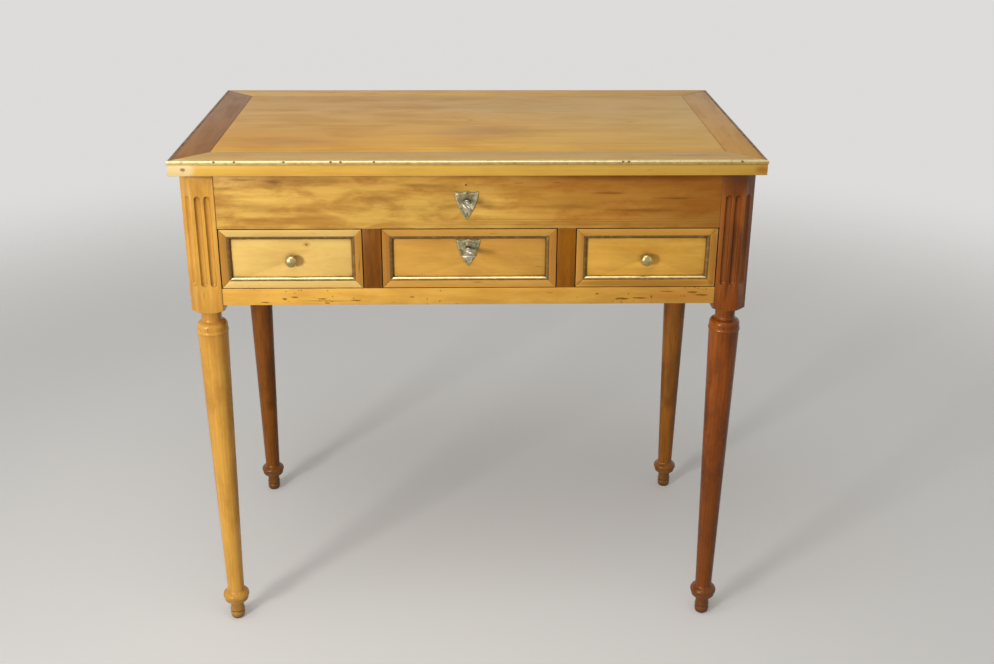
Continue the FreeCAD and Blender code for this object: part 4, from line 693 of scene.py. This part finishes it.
finishes["mirrorGlass"] = makeMirrorGlass()
slotFinishes = {"brass": "brassPlate", "key_iron": "keyIron", "lock_iron": "lockIron",
                "mirror_glass": "mirrorGlass"}
for name, piece in nodes.items():
    if slots[name] in slotFinishes:
        setFinish(piece, finishes[slotFinishes[slots[name]]])
print("metals and glass:", len(finishes))


# Modelling helpers
def selectOnly(piece=None):
    bpy.ops.object.select_all(action="DESELECT")
    if piece:
        bpy.context.view_layer.objects.active = piece
        piece.select_set(True)


def applyAll(piece):
    selectOnly(piece)
    for modifier in list(piece.modifiers):
        bpy.ops.object.modifier_apply(modifier=modifier.name)


def settle(piece, move=(0, 0, 0), turn=None):
    # Puts a piece at its place and leaves its object at the origin
    matrix = Matrix.Translation(move) @ (turn.to_4x4() if turn else Matrix.Identity(4))
    piece.data.transform(matrix @ piece.matrix_world)
    piece.matrix_world = Matrix.Identity(4)
    piece.data.update()


def objectMode():
    bpy.ops.object.mode_set(mode="OBJECT")


def editAll():
    bpy.ops.object.mode_set(mode="EDIT")
    bpy.ops.mesh.select_all(action="SELECT")


def pick(piece, kind, test):
    # Selects the vertices, or the edges whose middle passes the test, and leaves edit mode on
    objectMode()
    mesh = piece.data
    for group in (mesh.vertices, mesh.edges, mesh.polygons):
        for item in group:
            item.select = False
    if kind == "VERT":
        for vertex in mesh.vertices:
            vertex.select = test(vertex.co)
    else:
        for edge in mesh.edges:
            first, second = (mesh.vertices[index].co for index in edge.vertices)
            edge.select = test((first + second) / 2, (second - first).normalized())
    bpy.ops.object.mode_set(mode="EDIT")
    bpy.ops.mesh.select_mode(type=kind)


def block(place, size, turn=0.0):
    selectOnly()
    bpy.ops.mesh.primitive_cube_add(size=1, location=place, rotation=(0, 0, turn), scale=size)
    bpy.ops.object.transform_apply()
    return bpy.context.object


def joined(name, pieces):
    selectOnly(pieces[0])
    for piece in pieces:
        piece.select_set(True)
    bpy.ops.object.join()
    whole = bpy.context.object
    whole.name = name
    return whole


def smoothed(piece, angle=40):
    selectOnly(piece)
    bpy.ops.object.shade_smooth_by_angle(angle=math.radians(angle))
    return piece


def cutAway(piece, cutter):
    cut = piece.modifiers.new("cut", "BOOLEAN")
    cut.operation = "DIFFERENCE"
    cut.object = cutter
    cut.solver = "EXACT"
    applyAll(piece)
    bpy.data.objects.remove(cutter)


def bevelled(piece, width, segments=2, angle=35):
    edges = piece.modifiers.new("edges", "BEVEL")
    edges.width = width
    edges.segments = segments
    edges.limit_method = "ANGLE"
    edges.angle_limit = math.radians(angle)
    applyAll(piece)
    return piece


def finished(piece, node, material, stands=True):
    # Gives a piece its finish and its CAD node's body; it stands for that node, which is hidden, or goes
    # beside it
    setFinish(piece, material)
    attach(piece, nodes[node]["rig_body"])
    if stands:
        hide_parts(node)


cleanMesh = {"merge": 0.005 * mm, "flat": math.radians(0.3)}


# A CAD node's copy as one clean mesh, without the loose triangles
def cleanCopy(node, name):
    piece = bpy.data.objects.new(name, nodes[node].data.copy())
    bpy.context.collection.objects.link(piece)
    selectOnly(piece)
    bpy.ops.mesh.customdata_custom_splitnormals_clear()
    editAll()
    bpy.ops.mesh.remove_doubles(threshold=cleanMesh["merge"])
    bpy.ops.mesh.dissolve_limited(angle_limit=cleanMesh["flat"])
    objectMode()
    return piece


# How far each board's and fitting's arrises are rounded by plane and hand, in millimetres
easedWidths = {
    0.9: ["lid_front_rail", "lid_back_rail", "lid_left_rail", "lid_right_rail"],
    0.7: ["front_left_leg", "front_right_leg", "back_left_leg", "back_right_leg", "front_frieze",
          "front_bottom_rail", "left_side_panel", "right_side_panel", "back_panel"],
    0.5: ["lid_panel", "left_divider", "right_divider", "well_floor", "drawer_runners", "drawer_stops",
          *(f"{drawer}_{part}" for drawer in drawers for part in ("sides", "back", "bottom"))],
    0.4: [drawer + "_front" for drawer in drawers],
    0.3: ["frieze_lock_case", "centre_drawer_lock_case", "lid_lock_bolt", "drawer_lock_bolt",
          "lid_lock_keeper", "left_hinge_lid_leaf", "right_hinge_lid_leaf", "hinge_pins"],
}


def easeParts():
    for width, names in easedWidths.items():
        for name in names:
            piece = bevelled(cleanCopy(name, name + "_eased"), width * mm)
            finished(smoothed(piece, 30), name, nodes[name].data.materials[0])
    print("eased parts:", sum(len(names) for names in easedWidths.values()))


easeParts()

# Half of the gap that a mitre leaves
mitreGap = 0.05 * mm


def cutMitre(side, length, slope):
    # Cuts one end of the strip in edit mode at 45 degrees
    bpy.ops.mesh.select_all(action="SELECT")
    end = (side * (length / 2 - mitreGap), 0, 0)
    bpy.ops.mesh.bisect(plane_co=end, plane_no=(side, *slope), use_fill=True, clear_outer=True)


# A strip along X with mitred ends; its outer edge is at z = 0 and its front looks towards -Y
def mitredStrip(name, length, look):
    width, outer, inner, rounding, easing = (
        look[key] * mm for key in ("width", "outer", "inner", "rounding", "easing"))
    piece = block((0, -outer / 2, width / 2), (length, outer, width))
    piece.name = name
    pick(piece, "VERT", lambda spot: spot.y < -outer / 2 and spot.z > width / 2)
    bpy.ops.transform.translate(value=(0, outer - inner, 0))
    if rounding:
        pick(piece, "EDGE", lambda spot, way: abs(way.x) > 0.9 and spot.y < -outer / 2 and spot.z > width / 2)
        bpy.ops.mesh.bevel(offset=rounding, segments=6, profile=0.5)
    for side in (-1, 1):
        cutMitre(side, length, (0, 1))
    objectMode()
    return bevelled(piece, easing, angle=40)


# Gives a strip the slight unevenness of hand work
def unevened(piece, strength, waveLength, steps=24, middles=(0.5, 0.5)):
    low = min(vertex.co.x for vertex in piece.data.vertices)
    high = max(vertex.co.x for vertex in piece.data.vertices)
    selectOnly(piece)
    editAll()
    for step in range(1, steps):
        bpy.ops.mesh.select_all(action="SELECT")
        bpy.ops.mesh.bisect(plane_co=(low + (high - low) * step / steps, 0, 0), plane_no=(1, 0, 0))
    objectMode()
    texture = bpy.data.textures.new(piece.name + "_wave", "CLOUDS")
    texture.noise_scale = waveLength
    for axis, middle in zip("YZ", middles):
        wave = piece.modifiers.new("wave" + axis, "DISPLACE")
        wave.texture = texture
        wave.texture_coords = "LOCAL"
        wave.direction = axis
        wave.strength = strength
        wave.mid_level = middle
    applyAll(piece)


# The strips round a drawer's front, in millimetres: their thickness falls from outer to inner
drawerTrim = {
    "moulding": {"width": 10.0, "outer": 5.0, "inner": 4.2, "rounding": 0, "easing": 0.5, "wave": 0.1},
    "bead": {"width": 4.8, "outer": 3.8, "inner": 3.8, "rounding": 3.5, "easing": 0.15, "wave": 0.25},
}
drawerWaveLength = 90 * mm


def makeDrawerTrim():
    for drawer in drawers:
        for kind, look in drawerTrim.items():
            node = f"{drawer}_{kind}"
            middle, half = middleAndHalf(node)
            place = (middle.x, middle.y + half.y, middle.z)
            strips = []
            for number in range(4):
                # The lower and upper strips, and in between them the upright ones
                along, across = (half.x, half.z) if number % 2 == 0 else (half.z, half.x)
                strip = mitredStrip(node, along * 2, look)
                unevened(strip, look["wave"] * mm, drawerWaveLength)
                settle(strip, (0, 0, -across))
                settle(strip, place, Matrix.Rotation(math.radians(90 * number), 3, "Y"))
                strips.append(strip)
            material = nodes[node].data.materials[0] if kind == "moulding" else finishes["brassBead"]
            finished(smoothed(joined(node + "_strips", strips), 35), node, material)
    print("drawer mouldings and beads made")


makeDrawerTrim()

# The brass bead on the lid's edge, dented along its front by use
lidBead = {"width": 5.5 * mm, "height": 5.0 * mm, "rounding": 2.6 * mm, "wave": 0.16 * mm,
           "waveLength": 120 * mm, "steps": 36}


def makeLidBead():
    low, high, look = beadLow, beadHigh, lidBead
    width, height, depth = look["width"], look["height"], high.y - low.y
    middleY = (low.y + high.y) / 2
    strips = []
    for side, length, ends, turn, place in (
            ("front", high.x - low.x, (-1, 1), 0, (0, low.y, high.z)),
            ("left", depth, (1,), -90, (low.x, middleY, high.z)),
            ("right", depth, (-1,), 90, (high.x, middleY, high.z))):
        # Its outer edge lies at y = 0 and its top at z = 0
        strip = block((0, width / 2, -height / 2), (length, width, height))
        strip.name = "lid_bead_" + side
        pick(strip, "EDGE", lambda spot, way: abs(way.x) > 0.9 and spot.y < 1 * mm and spot.z > -1 * mm)
        bpy.ops.mesh.bevel(offset=look["rounding"], segments=5, profile=0.5)
        for end in ends:
            cutMitre(end, length, (1, 0))
        objectMode()
        unevened(strip, look["wave"], look["waveLength"], look["steps"], (0.0, 1.0))
        settle(strip, place, Matrix.Rotation(math.radians(turn), 3, "Z"))
        strips.append(strip)
    cutters = []
    for number, x in enumerate(dents["places"]):
        radius = dents["radius"] * (0.7 + 0.3 * math.sin(number * 2.3) ** 2)
        place = (x * mm, low.y + dents["inward"], high.z + radius * dents["above"])
        bpy.ops.mesh.primitive_uv_sphere_add(segments=16, ring_count=10, radius=radius, location=place)
        cutters.append(bpy.context.object)
    cutAway(strips[0], joined("dents", cutters))
    finished(smoothed(strips[0]), "lid_brass_bead", finishes["brassLidBead"])
    # The sides take the darker brass, a painted dark reflection
    sides = smoothed(joined("lid_bead_sides", strips[1:]))
    finished(sides, "lid_brass_bead", finishes["brassDarkReflection"], stands=False)
    print("lid bead made")


makeLidBead()


# A turned piece: rings from its foot up, each a radius and a height, made by extruding and scaling
def turnedPiece(name, rings, segments=32):
    selectOnly()
    bpy.ops.mesh.primitive_circle_add(vertices=segments, radius=rings[0][0], fill_type="NGON",
                                      location=(0, 0, rings[0][1]))
    bpy.ops.object.transform_apply()
    piece = bpy.context.object
    piece.name = name
    editAll()
    for (radius, height), (nextRadius, nextHeight) in zip(rings, rings[1:]):
        bpy.ops.mesh.extrude_region_move(TRANSFORM_OT_translate={"value": (0, 0, nextHeight - height)})
        share = nextRadius / radius
        bpy.ops.transform.resize(value=(share, share, 1), center_override=(0, 0, nextHeight))
    bpy.ops.mesh.select_all(action="SELECT")
    bpy.ops.mesh.remove_doubles(threshold=0.001 * mm)
    bpy.ops.mesh.normals_make_consistent(inside=False)
    objectMode()
    return piece


towardsFront = Matrix.Rotation(math.radians(90), 3, "X")

# The knob's outline from its stem outwards, as radius and height in millimetres
knobRings = [
    (2.0, -12.0), (2.0, 0.0), (5.2, 0.0), (5.3, 0.5), (5.2, 1.3), (4.6, 1.7), (3.6, 2.4), (3.3, 3.6),
    (3.5, 5.2), (4.4, 6.8), (6.0, 8.2), (7.6, 9.0), (8.1, 9.7), (8.2, 10.5), (8.05, 11.3), (7.5, 12.2),
    (6.6, 13.1), (5.2, 13.9), (3.5, 14.5), (1.7, 14.9), (0.3, 15.0),
]


def makeKnobs():
    length = knobRings[-1][1] * mm
    for node in ("left_drawer_knob", "right_drawer_knob"):
        middle, half = middleAndHalf(node)
        knob = turnedPiece(node + "_turned", [(radius * mm, height * mm) for radius, height in knobRings])
        settle(knob, (middle.x, middle.y - half.y + length, middle.z), towardsFront)
        finished(smoothed(knob), node, finishes["brassKnob"])
    print("knobs made")


makeKnobs()

# How far each key is turned, anticlockwise from upright, and how its round bow is drawn out
keyShapes = {"lid_key": {"turn": 48, "bowAcross": 1.0}, "drawer_key": {"turn": 90, "bowAcross": 1.17}}
# Millimetres; the bow's wire is a little flattened from front to back
keyWire = {"bow": 8.4, "wire": 1.9, "flattened": 0.8, "bitLength": 3.5, "bitDrop": 9.0, "bitWidth": 2.2,
           "easing": 0.3}
# The shaft's foot in the lock, as radius and height in millimetres, and from there out to the bow its
# radii at shares of its length
keyFoot = [(1.5, 0), (2.3, 0), (2.5, 0.5)]
keyShaftShares = [(2.5, 0.45), (2.5, 0.62), (3.1, 0.64), (3.7, 0.66), (3.7, 0.72), (3.0, 0.74), (2.5, 0.76),
                  (2.3, 0.88), (2.9, 0.9), (3.5, 0.93), (3.5, 0.97), (2.6, 0.99), (2.0, 1.0)]


def makeKeys():
    wire = {name: size * mm for name, size in keyWire.items() if name != "flattened"}
    reach = wire["bow"] + wire["wire"]
    for node, look in keyShapes.items():
        middle, half = middleAndHalf(node)
        foot, tip = middle.y + half.y, middle.y - half.y
        inner = half.y * 2 - reach * 2 + wire["wire"]
        rings = [(radius * mm, height * mm) for radius, height in keyFoot]
        rings += [(radius * mm, share * inner) for radius, share in keyShaftShares]
        shaft = turnedPiece(node, rings, 24)
        settle(shaft, (0, foot, 0), towardsFront)
        selectOnly()
        bpy.ops.mesh.primitive_torus_add(
            major_radius=wire["bow"], minor_radius=wire["wire"], major_segments=40, minor_segments=12,
            rotation=(0, math.radians(90), 0))
        bow = bpy.context.object
        bpy.ops.object.transform_apply()
        settle(bow, (0, tip + reach, 0), Matrix.Diagonal((keyWire["flattened"], 1.0, look["bowAcross"])))
        bit = block((0, foot - wire["bitLength"] / 2, -wire["bitDrop"] / 2),
                    (wire["bitWidth"], wire["bitLength"], wire["bitDrop"]))
        whole = joined(node + "_forged", [shaft, bow, bevelled(bit, wire["easing"])])
        turn = Matrix.Rotation(math.radians(-look["turn"]), 3, "Y")
        settle(whole, (middle.x, 0, middle.z), turn)
        finished(smoothed(whole), node, finishes["keyIron"])
    print("keys made")


makeKeys()

# Escutcheons: the plates keep their outline, and their field is sunk inside a raised rim
escutcheonField = {"share": 0.84, "sunk": 0.7 * mm, "easing": 0.25 * mm}


def makeEscutcheons():
    for node in ("frieze_escutcheon", "centre_drawer_escutcheon"):
        middle, half = middleAndHalf(node)
        plate = cleanCopy(node, node + "_chased")
        field = cleanCopy(node, "field")
        share = escutcheonField["share"]
        settle(field, -middle)
        settle(field, (middle.x, middle.y - half.y * 2 + escutcheonField["sunk"], middle.z),
               Matrix.Diagonal((share, 1.0, share)))
        cutAway(plate, field)
        finished(smoothed(bevelled(plate, escutcheonField["easing"])), node, finishes["brassPlate"])
    print("escutcheons made")


makeEscutcheons()

# The slot across each screw's head; it turns by so many degrees from screw to screw
screwSlot = {"width": 1.0 * mm, "depth": 0.6 * mm, "length": 16.0 * mm, "firstTurn": 20, "nextTurn": 67}


def makeScrews():
    look = screwSlot
    for node, face in (("hinge_case_screws", 1), ("lid_screws", -1)):
        selectOnly(cleanCopy(node, node + "_slotted"))
        bpy.ops.mesh.separate(type="LOOSE")
        screws = list(bpy.context.selected_objects)
        for number, screw in enumerate(screws):
            places = [vertex.co for vertex in screw.data.vertices]
            middle = sum(places, Vector()) / len(places)
            head = max(place.z * face for place in places) * face
            turn = math.radians(look["firstTurn"] + look["nextTurn"] * number)
            size = (look["length"], look["width"], look["depth"] * 2)
            cutAway(screw, block((middle.x, middle.y, head), size, turn))
        finished(smoothed(joined(node + "_slotted", screws)), node, finishes["brassPlate"])
    print("screws made")


makeScrews()

# The floor: a pale disc whose far edge fades into the pale background
floorLook = {"radius": 4.0, "clearTo": 1.1, "goneAt": 2.7, "glow": 0.22, "roughness": 0.85,
             "colour": paint(226, 224, 220)}


def makeFloor():
    look = floorLook
    selectOnly()
    bpy.ops.mesh.primitive_circle_add(vertices=96, radius=look["radius"], fill_type="NGON")
    floor = bpy.context.object
    floor.name = "studioFloor"
    material, tree, shader, place = newMaterial("studioFloor")
    shader["Base Color"].default_value = look["colour"]
    shader["Roughness"].default_value = look["roughness"]
    shader["Emission Color"].default_value = look["colour"]
    seen = addNode(tree, "ShaderNodeLightPath").outputs["Is Camera Ray"]
    tree.links.new(times(tree, seen, look["glow"]), shader["Emission Strength"])
    away = vectorCalc(tree, "LENGTH", place)["Value"]
    tree.links.new(ramp(tree, away, look["goneAt"], look["clearTo"]), shader["Alpha"])
    floor.data.materials.append(material)


makeFloor()

# The world lights the table weakly, and is seen and mirrored as a pale background
worldLook = {"lighting": 0.16, "seen": 0.72, "colour": (1.0, 0.99, 0.97, 1.0)}


def makeWorld():
    world = bpy.data.worlds.new("studio")
    bpy.context.scene.world = world
    world.use_nodes = True
    tree = world.node_tree
    background = tree.nodes["Background"].inputs
    path = addNode(tree, "ShaderNodeLightPath").outputs
    seen = calc(tree, "MAXIMUM", path["Is Camera Ray"], path["Is Glossy Ray"])
    seen = calc(tree, "MAXIMUM", seen, path["Is Transmission Ray"])
    strength = ramp(tree, seen, 0.0, 1.0, worldLook["lighting"], worldLook["seen"])
    tree.links.new(strength, background["Strength"])
    background["Color"].default_value = worldLook["colour"]


makeWorld()

# The key light stands low on the left; a wide soft box above lights the top, a weak one fills the right
lamps = {
    "keyLight": dict(place=(-1.75, -2.15, 0.98), size=0.5, watts=8.2, spread=80),
    "topLight": dict(place=(-0.5, -0.9, 2.6), size=2.0, watts=25, spread=180),
    "fillLight": dict(place=(2.3, -1.9, 1.5), size=1.8, watts=3.2, spread=180),
}
lampAim = Vector((0, 0, 0.5))


def makeLamps():
    for name, lamp in lamps.items():
        light = bpy.data.lights.new(name, "AREA")
        light.shape = "SQUARE"
        light.size = lamp["size"]
        light.energy = lamp["watts"]
        light.spread = math.radians(lamp["spread"])
        holder = bpy.data.objects.new(name, light)
        bpy.context.collection.objects.link(holder)
        holder.location = lamp["place"]
        holder.rotation_euler = (lampAim - Vector(lamp["place"])).to_track_quat("-Z", "Y").to_euler()
        holder.visible_camera = False


makeLamps()

# The camera, solved from the photograph's own edges
view = {"place": (-0.00563, -1.82783, 1.15828), "pitch": 0.3919, "yaw": -0.0272, "roll": 0.0052,
        "focalPixels": 1240.79, "imageWidth": 994, "sensor": 36.0, "clipStart": 0.05}


def makeCamera():
    data = bpy.data.cameras.new("camera")
    camera = bpy.data.objects.new("camera", data)
    bpy.context.collection.objects.link(camera)
    turns = ((view["roll"], "Y"), (view["pitch"], "X"), (-view["yaw"], "Z"))
    roll, pitch, yaw = (Matrix.Rotation(angle, 3, axis) for angle, axis in turns)
    right, forward, up = roll @ pitch @ yaw
    axes = Matrix((right, up, -forward)).transposed()
    camera.matrix_world = Matrix.Translation(view["place"]) @ axes.to_4x4()
    data.sensor_width = view["sensor"]
    data.lens = view["focalPixels"] / view["imageWidth"] * view["sensor"]
    data.clip_start = view["clipStart"]
    bpy.context.scene.camera = camera


makeCamera()
bpy.context.scene.view_settings.view_transform = "Standard"
print("studio made")
